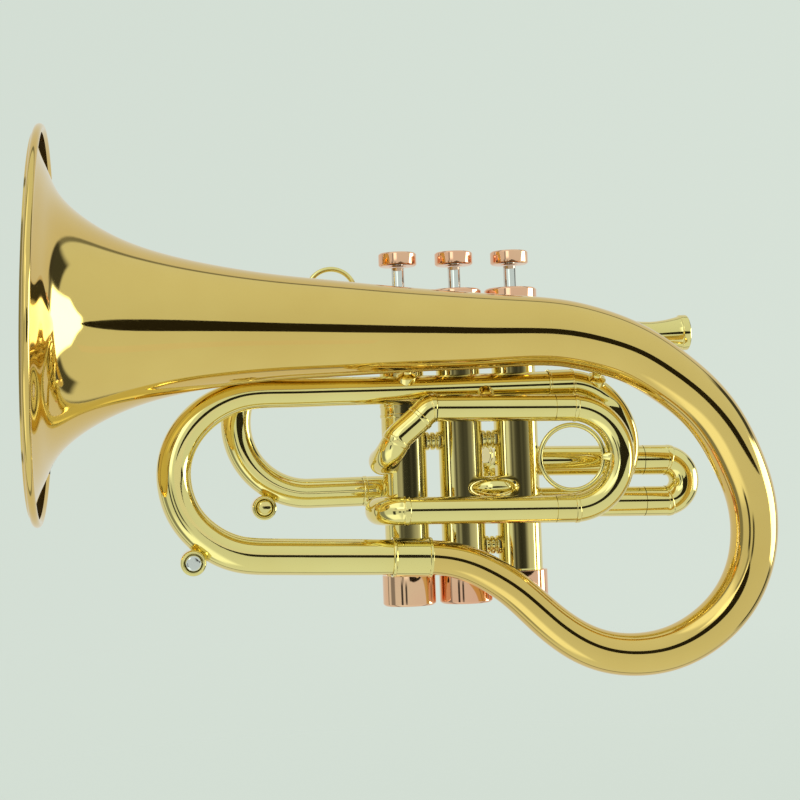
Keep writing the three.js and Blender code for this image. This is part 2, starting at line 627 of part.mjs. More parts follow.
function addMainSlide() {
  const { y, r, upperZ, lowerZ, upperSeam, lowerSeam } = MAIN;
  const upper = level(upperZ);
  const lower = level(lowerZ);
  const turnR = 8.6; // bend from the lower leg into the third casing
  const turnX = VALVE_X[3] - turnR;
  const fixed = [
    ...alongX([-63.5, lowerSeam], y, lower, 5.85),
    ...alongX([lowerSeam + 0.1, turnX], y, lower, r),
  ];
  for (const angle of [20, 40, 60, 80]) {
    const [cos, sin] = heading(angle);
    fixed.push([turnX + turnR * sin, y - turnR * (1 - cos), lowerZ, 6.6]);
  }
  fixed.push([VALVE_X[3], 8.6, lowerZ, 6.5], [VALVE_X[3], 7.0, lowerZ, 6.5]);
  const fixedWalls = fixed.map((_, i) => (i < 2 ? 0.5 : 1.3));
  add('main_lower_tube', trim(tube(fixed, fixedWalls), aroundCasing(3)));

  const slide = [
    ...alongX([-40.5, upperSeam - GAP], y, upper, 5.75),
    ...alongX([upperSeam - SHOULDER], y, upper, r),
    ...arc(MAIN_BOW, 90, 270, 12, y, r),
    ...alongX([lowerSeam - GAP], y, lower, r),
  ];
  // the first three stations share the upper leg's bore radius
  add('main_slide', tube(slide, slide.map((p, i) => (i < 3 ? p[3] - 5.2 : 0.55))));
}

// ---------- plunger water keys ----------
// The barrel opens towards -Y with the plunger in its mouth; a small hole pierces its +Y end.
function addWaterKey(tag, [x, startY, z], endY, bowSpace, plungerLook) {
  const length = endY - startY;
  const barrel = turned([
    [3.9, 0], [4.9, 0], [5.4, 0.6], [5.4, length - 0.8], [4.6, length],
    [1.0, length], [1.0, length - 1.6], [3.9, length - 1.6],
  ], 14, [x, startY, z], [0, 1, 0]);
  add(`water_key_body_${tag}`, trim(barrel, bowSpace));
  add(`water_key_plunger_${tag}`, turned(
    [[0, -1.0], [2.9, -1.0], [3.4, -0.4], [3.5, 0.3], [3.5, 6.0], [0, 6.0]],
    10,
    [x, startY, z],
    [0, 1, 0],
  ), plungerLook);
}

// ---------- small fittings ----------
function addLittleFingerRing() {
  const loop = fingerRing([-53.6, 17.2, 140.6], 11.0, 1.15);
  const post = rod([[-53.6, 17.2, 130.2, 1.5], [-53.6, 18.0, 119, 2.4]], 8);
  const leadSpace = around(alongX([-62, -42], MAIN.y, level(MAIN.upperZ), MAIN.r));
  add('little_finger_ring', cut(join(loop, post), leadSpace));
}

// Round brace with a thicker foot at its start.
function addBrace(name, from, to, ...neighbours) {
  const r = 2.3;
  const footR = r * 1.9;
  const part = (share) => from.map((v, i) => v + (to[i] - v) * share);
  const path = [[...from, footR], [...part(0.24), footR], [...part(0.3), r], [...to, r]];
  add(name, trim(rod(path, 14), ...neighbours));
}

function addBellBraces() {
  const bellSpace = around(BELL_PATH.slice(11, 24), CLEAR, 24);
  const branchSpace = around(FRONT_BOW.slice(18));
  const crookSpace = around(REAR_CROOK.slice(0, 8));
  addBrace('bell_brace_front', [-26.2, -16.2, 94.5], [-26.2, -28, 116], branchSpace, bellSpace);
  addBrace('bell_brace_rear', [57.8, -15.4, 91.9], [59.5, -28, 110], crookSpace, bellSpace);
}

// Boss between the branch and the third slide's upper sleeve.
function addSlideBoss() {
  const outline = [[0, -5.2], [3.2, -4.6], [3.9, -2], [3.9, 1.5], [3.2, 4.2], [0, 5.2]];
  add('slide_boss', trim(
    turned(outline, 14, [7.9, -21.6, 90.4], [0, -0.7, -0.7]),
    around(FRONT_BOW.slice(19)),
    around(alongX([-10, 30], THIRD.y, THIRD.upperZ, THIRD.tubeR)),
  ));
}

function addLeadpipePosts() {
  // X, height, radius of the leadpipe, to the nearest tenth in height
  const leadSpace = around([
    [-40, MAIN.upperZ, MAIN.r], [-38, MAIN.upperZ, MAIN.r],
    [-10, 115.5, 6.3], [30, 116.6, 5.9], [60, 117.4, 5.75],
  ].map(([x, z, r]) => [x, MAIN.y, z, r]));
  for (const [n, z] of [[1, 116.5], [3, 115.0]]) {
    const post = rod([[VALVE_X[n], 7, z, 3.2], [VALVE_X[n], 17, z, 3.2]], 14);
    add(`leadpipe_post_${n}`, trim(post, aroundCasing(n), leadSpace));
  }
}

// ---------- assembly ----------
addBell();
addBranch();
for (const n of [1, 2, 3]) {
  addCasing(n);
  addPiston(n);
  addSpring(n);
  addCapsAndButton(n);
}
addCasingLinks();
addThirdSlide();
addFirstSlide();
addSecondSlide();
addLeadpipe();
addMainSlide();
addWaterKey('bow', [-120.4, -26.3, 23.9], -11.3, around(FRONT_BOW.slice(3, 9)), NICKEL);
const mainBowSpace = around(arc(MAIN_BOW, 210, 270, 5, MAIN.y, MAIN.r));
addWaterKey('slide', [-87.4, 11.0, 45.0], 25.6, mainBowSpace, BRASS);
addLittleFingerRing();
addBellBraces();
addSlideBoss();
addLeadpipePosts();

export default cornet;
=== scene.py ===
"""A cornet, built in millimetres in the frame of its CAD pieces.

The three valves stand upright along Z with valve 2 on the origin and valve 1 towards +X.
The bell opens towards -X, the leadpipe ends in its receiver at +X. The bell lies on the -Y
side, which faces the camera; the leadpipe and main slide lie on the +Y side.

A mesh is passed around as a pair (verts, faces). A path is an array of rows
(x, y, z, outer radius).
"""

import math

import bmesh
import bpy
import numpy as np
from mathutils import Matrix


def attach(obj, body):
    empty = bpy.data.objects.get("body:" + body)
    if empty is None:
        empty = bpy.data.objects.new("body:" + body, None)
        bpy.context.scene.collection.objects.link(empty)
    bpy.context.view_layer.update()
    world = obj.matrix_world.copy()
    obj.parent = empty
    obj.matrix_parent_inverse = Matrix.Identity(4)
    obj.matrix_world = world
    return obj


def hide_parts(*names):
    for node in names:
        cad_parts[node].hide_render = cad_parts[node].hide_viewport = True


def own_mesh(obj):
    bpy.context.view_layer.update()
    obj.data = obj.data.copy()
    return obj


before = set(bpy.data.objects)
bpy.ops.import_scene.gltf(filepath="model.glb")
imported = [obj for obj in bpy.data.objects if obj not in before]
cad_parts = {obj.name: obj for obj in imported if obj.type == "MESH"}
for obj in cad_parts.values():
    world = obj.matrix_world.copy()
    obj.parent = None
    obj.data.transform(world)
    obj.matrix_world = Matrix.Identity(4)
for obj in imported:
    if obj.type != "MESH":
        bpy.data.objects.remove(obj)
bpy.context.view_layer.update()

MM_TO_M = 0.001
SCENE = bpy.context.scene
vec = np.array

# ------------------------------------------------------------------ shared dimensions
CASING_R, CASING_BORE = 9.8, 8.35
PITCH = 25.4                        # between valve axes
VALVES = {1: PITCH, 2: 0.0, 3: -PITCH}
SLOPE = -0.027                      # dz/dx of the first and third slides
BELL_Y = -30.0
BELL_SLOPE = -0.0385                # dz/dx of the bell axis

# bell flare and stem: x, centre z, outer radius
FLARE = [
    (-182.35, 124.6, 79.6), (-181.5, 124.62, 75.0), (-180.1, 124.65, 70.0),
    (-178.0, 124.65, 65.0), (-175.9, 124.65, 60.0), (-173.2, 124.6, 55.0),
    (-169.3, 124.5, 50.4), (-162.0, 124.3, 44.4), (-154.2, 124.05, 39.6),
    (-143.9, 123.78, 34.8), (-131.5, 123.5, 30.7), (-118.0, 123.1, 27.5),
    (-102.1, 122.5, 24.8), (-83.2, 121.75, 22.45), (-62.0, 120.86, 20.75),
    (-40.0, 119.93, 19.1), (-17.0, 119.05, 17.55), (9.2, 118.06, 16.1)]
# bell crook, round the +X end and back under the valves: x, y, z, outer radius
CROOK = [
    (31.2, -30.0, 117.35, 14.85), (43.0, -30.0, 116.0, 14.4), (54.0, -29.8, 113.4, 14.05),
    (64.5, -29.5, 110.1, 13.6), (74.5, -29.1, 105.7, 13.15), (87.7, -28.6, 97.2, 12.6),
    (99.0, -28.2, 88.1, 12.15), (108.0, -27.8, 78.1, 11.85), (114.8, -27.3, 67.1, 11.55),
    (119.9, -26.8, 55.8, 11.25), (123.8, -26.2, 44.1, 10.85), (125.4, -25.6, 27.8, 10.4),
    (122.6, -24.9, 11.3, 10.1), (114.6, -24.2, -3.7, 9.9), (102.0, -23.5, -15.3, 9.75),
    (86.4, -22.8, -22.6, 9.55), (69.4, -22.2, -24.5, 9.3), (53.1, -21.5, -21.4, 9.03),
    (39.2, -20.9, -13.6, 8.7), (27.5, -20.7, -3.4, 8.35), (14.9, -20.6, 8.1, 8.0),
    (7.6, -20.4, 12.9, 7.85), (-1.7, -20.1, 17.8, 7.7), (-11.0, -19.6, 20.6, 7.57),
    (-18.2, -19.25, 21.5, 7.5), (-26.5, -19.2, 21.94, 7.5)]
# front bow, round the -X end and back above the third slide: x, y, z, outer radius
BOW = [
    (-27.1, -19.2, 21.97, 7.5), (-35.0, -19.1, 22.34, 7.6), (-45.0, -18.9, 22.8, 7.74),
    (-57.8, -18.8, 23.4, 7.8), (-75.0, -18.6, 24.2, 7.82), (-90.0, -18.4, 25.0, 7.84),
    (-98.4, -18.4, 25.9, 7.84), (-107.1, -18.2, 28.8, 7.8), (-114.4, -18.0, 33.5, 7.65),
    (-120.4, -17.8, 39.6, 7.5), (-124.6, -17.6, 46.7, 7.4), (-126.8, -17.4, 54.5, 7.35),
    (-127.3, -17.2, 62.5, 7.3), (-125.8, -17.0, 70.1, 7.26), (-122.4, -16.8, 77.2, 7.2),
    (-117.5, -16.6, 83.3, 7.1), (-111.4, -16.4, 88.3, 6.95), (-105.0, -16.3, 91.6, 6.8),
    (-98.4, -16.2, 93.8, 6.66), (-91.0, -16.2, 94.7, 6.54), (-81.0, -16.2, 94.75, 6.45),
    (-65.0, -16.2, 94.6, 6.3), (-48.0, -16.2, 94.5, 6.15), (-15.6, -16.2, 94.5, 5.97),
    (10.0, -16.2, 94.65, 5.95), (42.3, -16.2, 94.85, 5.93)]
# rear crook, from the front bow down into valve 1: x, y, z, outer radius
REAR = [
    (42.9, -16.2, 94.86, 5.93), (49.0, -16.2, 94.8, 5.95), (53.4, -16.0, 93.8, 5.96),
    (57.8, -15.35, 91.7, 5.97), (61.9, -14.7, 88.8, 5.98), (65.5, -14.1, 85.2, 5.98),
    (68.3, -13.7, 81.2, 5.98), (70.4, -13.4, 76.7, 5.98), (71.7, -13.3, 72.0, 5.98),
    (72.1, -13.2, 67.1, 5.98), (71.5, -13.1, 62.2, 5.98), (70.1, -13.0, 57.6, 5.98),
    (67.9, -12.9, 53.2, 5.98), (65.0, -12.9, 49.4, 5.98), (61.3, -12.9, 46.0, 5.98),
    (57.1, -12.95, 43.4, 5.98), (52.5, -13.0, 41.6, 5.98), (47.5, -13.0, 40.7, 5.96),
    (42.5, -12.3, 40.3, 5.94), (38.0, -10.7, 40.2, 5.92), (34.2, -8.3, 40.2, 5.9),
    (32.4, -6.9, 40.2, 5.9)]


# ------------------------------------------------------------------ shader helpers
def node(tree, kind, inputs=None, **settings):
    """Adds a node. An input takes a plain value or another node's output."""
    made = tree.nodes.new(kind)
    for name, value in settings.items():
        setattr(made, name, value)
    for key, value in (inputs or {}).items():
        if isinstance(value, bpy.types.NodeSocket):
            tree.links.new(value, made.inputs[key])
        else:
            made.inputs[key].default_value = value
    return made


def empty_tree(owner):
    owner.use_nodes = True
    owner.node_tree.nodes.clear()
    return owner.node_tree


def new_material(name):
    material = bpy.data.materials.new(name)
    return material, empty_tree(material)


def set_surface(tree, shader):
    node(tree, "ShaderNodeOutputMaterial", {"Surface": shader.outputs[0]})


def mix_colour(tree, factor, first, second):
    first, second = [(*c, 1) if isinstance(c, tuple) else c for c in (first, second)]
    # sockets 6 and 7 are the two colours of a Mix node
    return node(tree, "ShaderNodeMix", {0: factor, 6: first, 7: second},
                data_type="RGBA").outputs[2]


def map_range(tree, value, from_min, from_max, to_min, to_max, **settings):
    numbers = (value, from_min, from_max, to_min, to_max)
    return node(tree, "ShaderNodeMapRange", dict(enumerate(numbers)), **settings).outputs[0]


def noise(tree, coords, scale, detail, rough, distortion=0.0):
    return node(tree, "ShaderNodeTexNoise", {
        "Scale": scale, "Detail": detail, "Roughness": rough, "Distortion": distortion,
        "Vector": coords}).outputs["Fac"]


def object_coords(tree):
    return node(tree, "ShaderNodeTexCoord").outputs["Object"]


# ------------------------------------------------------------------ materials
def metal(name, base, tint, rough=(0.035, 0.075), coat=0.35, bump=0.00002):
    """Polished metal: slow tint change, fine speckle, buffing lines and hazy spots."""
    material, tree = new_material(name)
    coords = object_coords(tree)
    slow = noise(tree, coords, scale=22.0, detail=3.0, rough=0.55)
    colour = mix_colour(tree, map_range(tree, slow, 0.35, 0.65, 0.0, 1.0), base, tint)
    speck = noise(tree, coords, scale=2600.0, detail=1.0, rough=0.4)
    colour = mix_colour(tree, map_range(tree, speck, 0.72, 0.80, 0.0, 0.10), colour,
                        tuple(0.72 * channel for channel in base))
    # buffing lines: fine noise stretched along X
    stretched = node(tree, "ShaderNodeMapping", {"Scale": (0.12, 1.0, 1.0), "Vector": coords})
    streak = noise(tree, stretched.outputs[0], scale=1500.0, detail=3.0, rough=0.6)
    haze = noise(tree, coords, scale=60.0, detail=4.0, rough=0.6)
    roughness = node(tree, "ShaderNodeMath", {
        0: map_range(tree, haze, 0.35, 0.75, *rough),
        1: map_range(tree, streak, 0.55, 0.75, 0.0, 0.015)}, operation="ADD")
    # barely visible waviness, plus a little of the streaks
    wave = noise(tree, coords, scale=95.0, detail=2.0, rough=0.5)
    height = node(tree, "ShaderNodeMath", {0: streak, 1: 0.02, 2: wave},
                  operation="MULTIPLY_ADD")
    relief = node(tree, "ShaderNodeBump", {
        "Strength": 1.0, "Distance": bump, "Height": height.outputs[0]})
    set_surface(tree, node(tree, "ShaderNodeBsdfPrincipled", {
        "Base Color": colour, "Metallic": 1.0, "Roughness": roughness.outputs[0],
        "Normal": relief.outputs[0], "Coat Weight": coat, "Coat Roughness": 0.03}))
    return material


def felt(name, base):
    material, tree = new_material(name)
    fibre = noise(tree, object_coords(tree), scale=1800.0, detail=6.0, rough=0.7,
                  distortion=0.6)
    colour = mix_colour(tree, map_range(tree, fibre, 0.35, 0.7, 0, 1), base,
                        tuple(min(1, 2.2 * channel) for channel in base))
    relief = node(tree, "ShaderNodeBump", {"Distance": 0.0003, "Height": fibre})
    set_surface(tree, node(tree, "ShaderNodeBsdfPrincipled", {
        "Base Color": colour, "Roughness": 0.95, "Sheen Weight": 0.4,
        "Normal": relief.outputs[0]}))
    return material


# each finish is (material, slot name)
BRASS = (metal("lacquered_brass", base=(0.868, 0.752, 0.305), tint=(0.840, 0.706, 0.268)),
         "lacquered_brass")
GOLD = (metal("gold_brass", base=(0.798, 0.574, 0.174), tint=(0.766, 0.538, 0.156),
              bump=0.000012), "gold_brass")
COPPER = (metal("polished_copper", base=(0.904, 0.575, 0.365), tint=(0.890, 0.480, 0.320),
                rough=(0.03, 0.06), coat=0.2), "copper")
NICKEL = (metal("nickel_silver", base=(0.710, 0.725, 0.710), tint=(0.670, 0.685, 0.670),
                rough=(0.05, 0.10), coat=0.0), "nickel_silver")
STEEL = (metal("spring_steel", base=(0.60, 0.61, 0.62), tint=(0.52, 0.53, 0.55),
               rough=(0.2, 0.32), coat=0.0), "spring_steel")
FELT = (felt("felt", base=(0.020, 0.018, 0.018)), "felt")


# ------------------------------------------------------------------ paths
def running_total(steps):
    return np.concatenate([[0], np.cumsum(steps)])


def arc_length(path):
    """Distance along the path at each of its rows."""
    return running_total(np.linalg.norm(np.diff(path[:, :3], axis=0), axis=1))


def fairing_matrices(along, count):
    """An even grid over the stations, its interpolation matrix and third differences."""
    grid = np.linspace(0, along[-1], count)
    spacing = grid[1]
    sample = np.zeros((len(along), count))
    for i, at in enumerate(along):
        cell = min(int(at / spacing), count - 2)
        part = at / spacing - cell
        sample[i, cell], sample[i, cell + 1] = 1 - part, part
    return grid, sample, np.diff(np.eye(count), 3, axis=0) / spacing ** 3


def station_weights(count, end_weight):
    weights = np.ones(count)
    weights[0] = weights[-1] = end_weight
    return weights[:, None]


def smooth_path(stations, stiffness, count=600):
    """A fair path through measured stations: least squares, third difference penalised."""
    stations = vec(stations, float)
    grid, sample, third = fairing_matrices(arc_length(stations), count)
    weights = station_weights(len(stations), 300.0)
    system = sample.T @ (weights * sample) + stiffness * 1e2 * grid[1] * (third.T @ third)
    return np.linalg.solve(system, sample.T @ (weights * stations))


def smooth_profile(knots, stiffness):
    """A fair profile through unevenly spaced (x, z, radius) knots, one stiffness per knot."""
    knots = vec(knots, float)
    along = running_total(np.hypot(np.diff(knots[:, 0]), np.diff(knots[:, 2])))
    grid, sample, third = fairing_matrices(along, 500)
    weights = station_weights(len(knots), 50.0)
    local = np.interp((grid[:-3] + grid[3:]) / 2, along, stiffness) * 100.0
    system = sample.T @ (weights * sample) + grid[1] * (third.T @ (local[:, None] * third))
    return np.linalg.solve(system, sample.T @ (weights * knots))


def resample(path, stations):
    along = arc_length(path)
    return np.stack([np.interp(stations, along, column) for column in path.T], 1)


def ring_fall(width):
    """Length of the slope at each edge of a raised ring of this width."""
    return min(0.22, width * 0.3)


def stations_for(total, step, rings):
    """Even stations, with extra ones at the edges of every ring (position, width, height)."""
    found = list(np.linspace(0, total, max(2, int(round(total / step)) + 1)))
    for centre, width, _ in rings:
        fall = ring_fall(width)
        found.append(centre)
        for side in (-1, 1):
            edge = centre + side * width / 2
            found += [edge + side * reach for reach in (fall, fall * 0.35, 0, -fall * 0.5)]
    found = sorted(at for at in found if -1e-9 <= at <= total + 1e-9)
    kept = [found[0]]
    for at in found[1:]:
        if at - kept[-1] > 0.04:
            kept.append(at)
    kept[-1] = total
    return vec(kept)


def ring_height(at, rings):
    total = 0.0
    for centre, width, height in rings:
        fall = ring_fall(width)
        beyond = abs(at - centre) - width / 2
        if beyond <= -fall * 0.5:
            rise = 1.0
        else:
            rise = max(0.0, min(1.0, (fall - beyond) / (1.5 * fall)))
        total += height * rise * rise * (3 - 2 * rise)
    return total


def unit(vector):
    return vector / np.linalg.norm(vector)


def unit_rows(vectors):
    return vectors / np.linalg.norm(vectors, axis=1)[:, None]


def frames(path):
    """Centres, tangents and two cross directions along a path, carried without twist."""
    centres = vec(path)[:, :3]
    tangents = np.zeros_like(centres)
    tangents[1:-1] = centres[2:] - centres[:-2]
    tangents[0], tangents[-1] = centres[1] - centres[0], centres[-1] - centres[-2]
    tangents = unit_rows(tangents)
    start = vec([0, 1, 0.0]) if abs(tangents[0][1]) < 0.9 else vec([0, 0, 1.0])
    normal = unit(start - tangents[0] * (start @ tangents[0]))
    normals = [normal]
    for before, after in zip(tangents[:-1], tangents[1:]):
        turn = np.cross(before, after)
        if np.linalg.norm(turn) > 1e-9:
            normal = (normal + np.cross(turn, normal)
                      + np.cross(turn, np.cross(turn, normal)) / (1 + before @ after))
        normal = unit(normal - after * (normal @ after))
        normals.append(normal)
    normals = vec(normals)
    return centres, tangents, normals, np.cross(tangents, normals)


def arc_points(centre_x, centre_z, bend, start, end, count, y, radius):
    """Path rows on an arc in the XZ plane, angles in degrees from +X towards +Z."""
    return [(centre_x + bend * math.cos(math.radians(angle)), y,
             centre_z + bend * math.sin(math.radians(angle)), radius)
            for angle in np.linspace(start, end, count + 1)]


# ------------------------------------------------------------------ meshes
def ring_points(centre, across, side, radius, sides):
    angles = np.linspace(0, 2 * math.pi, sides, endpoint=False)
    return centre + radius * (np.cos(angles)[:, None] * across + np.sin(angles)[:, None] * side)


def band(first, second, sides, flip=False):
    """Quads between two rings, each given by the index of its first vertex."""
    here = np.arange(sides)
    beyond = (here + 1) % sides
    quads = np.stack([first + here, second + here, second + beyond, first + beyond], 1)
    return (quads[:, ::-1] if flip else quads).tolist()


def wall_faces(count, sides):
    """Outer and inner skin of a shell: count outer rings, followed by count inner ones."""
    faces = []
    for i in range(count - 1):
        faces += band(i * sides, (i + 1) * sides, sides)
        faces += band((count + i) * sides, (count + i + 1) * sides, sides, True)
    return faces


def hollow(path, outer, inner, sides):
    """Tube wall between two rows of radii, closed at both ends by flat rims."""
    centres, tangents, across, side = frames(path)
    verts = []
    for radii in (outer, inner):
        for ring in zip(centres, across, side, radii):
            verts.extend(ring_points(*ring, sides))
    count = len(path)
    faces = wall_faces(count, sides)
    faces += band(count * sides, 0, sides)
    faces += band((count - 1) * sides, (2 * count - 1) * sides, sides)
    return verts, faces, tangents


def fit_to_casing(points, direction, valve):
    """Slides end-ring points along direction until they lie just inside a valve casing."""
    reach = CASING_R - 0.05
    dir_x, dir_y = direction[0], direction[1]
    square = dir_x * dir_x + dir_y * dir_y
    fitted = []
    for point in points:
        x, y = point[0] - VALVES[valve], point[1]
        linear = 2 * (x * dir_x + y * dir_y)
        constant = x * x + y * y - reach * reach
        root = math.sqrt(max(0.0, linear * linear - 4 * square * constant))
        near, far = (-linear - root) / (2 * square), (-linear + root) / (2 * square)
        travel = near if abs(near) < abs(far) else far
        fitted.append(point + direction * max(-6.0, min(6.0, travel)))
    return fitted


def tube(path, wall, step, sides=56, rings=(), start_valve=None, end_valve=None):
    """Hollow tube. A negative ring position counts back from the end; wall is one
    thickness or one per path row; an end given a valve is fitted to its casing."""
    path = vec(path, float)
    along = arc_length(path)
    total = along[-1]
    rings = [(at + total if at < 0 else at, width, height) for at, width, height in rings]
    stations = stations_for(total, step, rings)
    rows = resample(path, stations)
    outer = rows[:, 3] + vec([ring_height(at, rings) for at in stations])
    inner = rows[:, 3] - np.interp(stations, along, np.broadcast_to(wall, len(path)))
    verts, faces, tangents = hollow(rows, outer, inner, sides)
    count = len(rows)
    for valve, i, sign in ((start_valve, 0, -1), (end_valve, count - 1, 1)):
        if valve:
            for first in (i * sides, (count + i) * sides):
                verts[first:first + sides] = fit_to_casing(
                    verts[first:first + sides], tangents[i] * sign, valve)
    return verts, faces


def solid_rod(path, sides=32):
    path = vec(path, float)
    centres, _, across, side = frames(path)
    verts, faces = [], []
    for ring in zip(centres, across, side, path[:, 3]):
        verts.extend(ring_points(*ring, sides))
    for i in range(len(path) - 1):
        faces += band(i * sides, (i + 1) * sides, sides)
    tip, last = len(verts), len(verts) - sides
    verts += [centres[0], centres[-1]]
    faces += [[tip, (k + 1) % sides, k] for k in range(sides)]
    faces += [[tip + 1, last + k, last + (k + 1) % sides] for k in range(sides)]
    return verts, faces


def rod_cutter(path, clearance=0.05):
    """Solid that takes the room of a tube, plus a clearance, out of a fitting."""
    path = vec(path, float)
    path[:, 3] += clearance
    return solid_rod(path, 72)


def casing_cutter(x, bottom, top, clearance=0.02):
    radius = CASING_R + clearance
    return solid_rod([(x, 0, bottom, radius), (x, 0, top, radius)], 96)


def rounded(profile, corner, steps):
    """Rounds the corners of a closed outline of (radius, height), except on the axis."""
    points = [vec(point, float) for point in profile]
    result = []
    for i, point in enumerate(points):
        back = points[i - 1] - point
        ahead = points[(i + 1) % len(points)] - point
        back_len, ahead_len = np.linalg.norm(back), np.linalg.norm(ahead)
        if point[0] < 1e-6 or back_len < 1e-6 or ahead_len < 1e-6:
            result.append(point)
            continue
        back, ahead = back / back_len, ahead / ahead_len
        angle = math.acos(max(-1, min(1, float(back @ ahead))))
        if angle > math.radians(165):
            result.append(point)
            continue
        cut_back = min(corner / math.tan(angle / 2), 0.42 * back_len, 0.42 * ahead_len)
        start, end = point + back * cut_back, point + ahead * cut_back
        for k in range(steps + 1):
            part = k / steps
            result.append((1 - part) ** 2 * start + 2 * part * (1 - part) * point
                          + part * part * end)
    return result


def lathe(profile, origin, axis, sides):
    """Turned body from a closed (radius, height) outline; points on the axis close it."""
    axis = unit(vec(axis, float))
    start = vec([0, 1, 0.0]) if abs(axis[1]) < 0.9 else vec([1, 0, 0.0])
    across = unit(start - axis * (start @ axis))
    side = np.cross(axis, across)
    origin = vec(origin, float)
    verts, faces, rows = [], [], []
    for radius, height in profile:
        on_axis = radius < 1e-5
        rows.append((len(verts), on_axis))
        if on_axis:
            verts.append(origin + axis * height)
        else:
            verts.extend(ring_points(origin + axis * height, across, side, radius, sides))
    for (here, here_tip), (beyond, beyond_tip) in zip(rows, rows[1:] + rows[:1]):
        if here_tip and beyond_tip:
            continue
        if here_tip:
            faces += [[here, beyond + k, beyond + (k + 1) % sides] for k in range(sides)]
        elif beyond_tip:
            faces += [[here + k, beyond, here + (k + 1) % sides] for k in range(sides)]
        else:
            faces += band(here, beyond, sides)
    return verts, faces


def turned(profile, origin, axis, sides, corner, steps=3):
    return lathe(rounded(profile, corner, steps), origin, axis, sides)


def torus(centre, radius, wire, around, sides):
    """Ring of round wire whose axis is Y."""
    section = [(radius + wire * math.cos(angle), wire * math.sin(angle))
               for angle in np.linspace(0, 2 * math.pi, sides, endpoint=False)]
    return lathe(section, centre, (0, 1, 0), around)


def face_outward(work):
    bmesh.ops.recalc_face_normals(work, faces=work.faces)
    if work.calc_volume(signed=True) < 0:
        bmesh.ops.reverse_faces(work, faces=work.faces)


def mesh_object(name, verts, faces):
    mesh = bpy.data.meshes.new(name)
    mesh.from_pydata([tuple(point) for point in vec(verts)], [], faces)
    made = bpy.data.objects.new(name, mesh)
    SCENE.collection.objects.link(made)
    return made


def combine(operation, shells):
    """Exact boolean of closed shells onto the first one."""
    objects = []
    for verts, faces in shells:
        made = mesh_object("shell", verts, faces)
        work = bmesh.new()
        work.from_mesh(made.data)
        face_outward(work)
        work.to_mesh(made.data)
        work.free()
        objects.append(made)
    base = objects[0]
    for tool in objects[1:]:
        modifier = base.modifiers.new("boolean", "BOOLEAN")
        modifier.operation, modifier.solver, modifier.object = operation, "EXACT", tool
    evaluated = base.evaluated_get(bpy.context.evaluated_depsgraph_get())
    mesh = evaluated.to_mesh()
    result = ([vec(vertex.co) for vertex in mesh.vertices],
              [list(polygon.vertices) for polygon in mesh.polygons])
    evaluated.to_mesh_clear()
    for made in objects:
        mesh = made.data
        bpy.data.objects.remove(made)
        bpy.data.meshes.remove(mesh)
    return result


def union(*shells):
    return combine("UNION", shells)


def cut(base, *tools):
    return combine("DIFFERENCE", (base, *tools))


def no_folds(mesh):
    """The same shell in triangles, without pairs that fold back on each other."""
    verts, faces = mesh
    work = bmesh.new()
    points = [work.verts.new(tuple(float(value) for value in vert)) for vert in verts]
    for face in faces:
        if len(set(face)) == len(face) > 2:
            try:
                work.faces.new([points[k] for k in face])
            except ValueError:  # the boolean gave this face twice
                pass
    bmesh.ops.triangulate(work, faces=work.faces[:])
    work.verts.index_update()
    triangles = [[corner.index for corner in face.verts] for face in work.faces]
    work.free()
    keys = [frozenset(tuple(np.round(vec(verts[k], float), 4)) for k in triangle)
            for triangle in triangles]
    seen = {}
    for key in keys:
        seen[key] = seen.get(key, 0) + 1
    return verts, [triangle for triangle, key in zip(triangles, keys)
                   if len(key) == 3 and seen[key] == 1]


def biggest_island(mesh):
    """The connected part of a mesh with the largest bounding box."""
    verts, faces = mesh
    neighbours = [set() for _ in verts]
    for face in faces:
        for k in face:
            neighbours[k].update(face)
    seen, islands = set(), []
    for start in range(len(verts)):
        if start in seen:
            continue
        seen.add(start)
        stack, island = [start], []
        while stack:
            here = stack.pop()
            island.append(here)
            fresh = neighbours[here] - seen
            seen |= fresh
            stack.extend(fresh)
        islands.append(island)

    def box_volume(island):
        points = vec([verts[k] for k in island])
        return float(np.prod(points.max(0) - points.min(0) + 1e-6))

    kept = sorted(max(islands, key=box_volume))
    index = {old: new for new, old in enumerate(kept)}
    return ([verts[k] for k in kept],
            [[index[k] for k in face] for face in faces if all(k in index for k in face)])


def make(piece, mesh, finish=BRASS, body="cornet_body", sharp=32.0):
    """Turns a mesh into the finished object that stands in for a CAD piece."""
    verts, faces = mesh
    made = mesh_object(piece + "_fine", vec(verts) * MM_TO_M, faces)
    made.data.validate()
    work = bmesh.new()
    work.from_mesh(made.data)
    face_outward(work)
    limit = math.radians(sharp)
    for edge in work.edges:
        edge.smooth = not (len(edge.link_faces) == 2 and edge.calc_face_angle(0) > limit)
    for face in work.faces:
        face.smooth = True
    work.to_mesh(made.data)
    work.free()
    material, slot = finish
    made.data.materials.append(material)
    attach(made, body)
    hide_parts(piece)
    return made


# ------------------------------------------------------------------ bell
BELL_SIDES = 144
BELL_WALL = 0.7
BELL_JOIN_X = -17.0                     # where the flare hands over to the crook
FLARE_STIFFNESS = [0.02] * 5 + [0.1, 0.5] + [1.0] * 4 + [3.0] * 7
# rolled edge: centre behind the rim, centre radius, bead radius
BEAD_X, BEAD_CENTRE_R, BEAD_R = 1.95, 81.4, 1.72
BEAD_INNER_R = 79.75


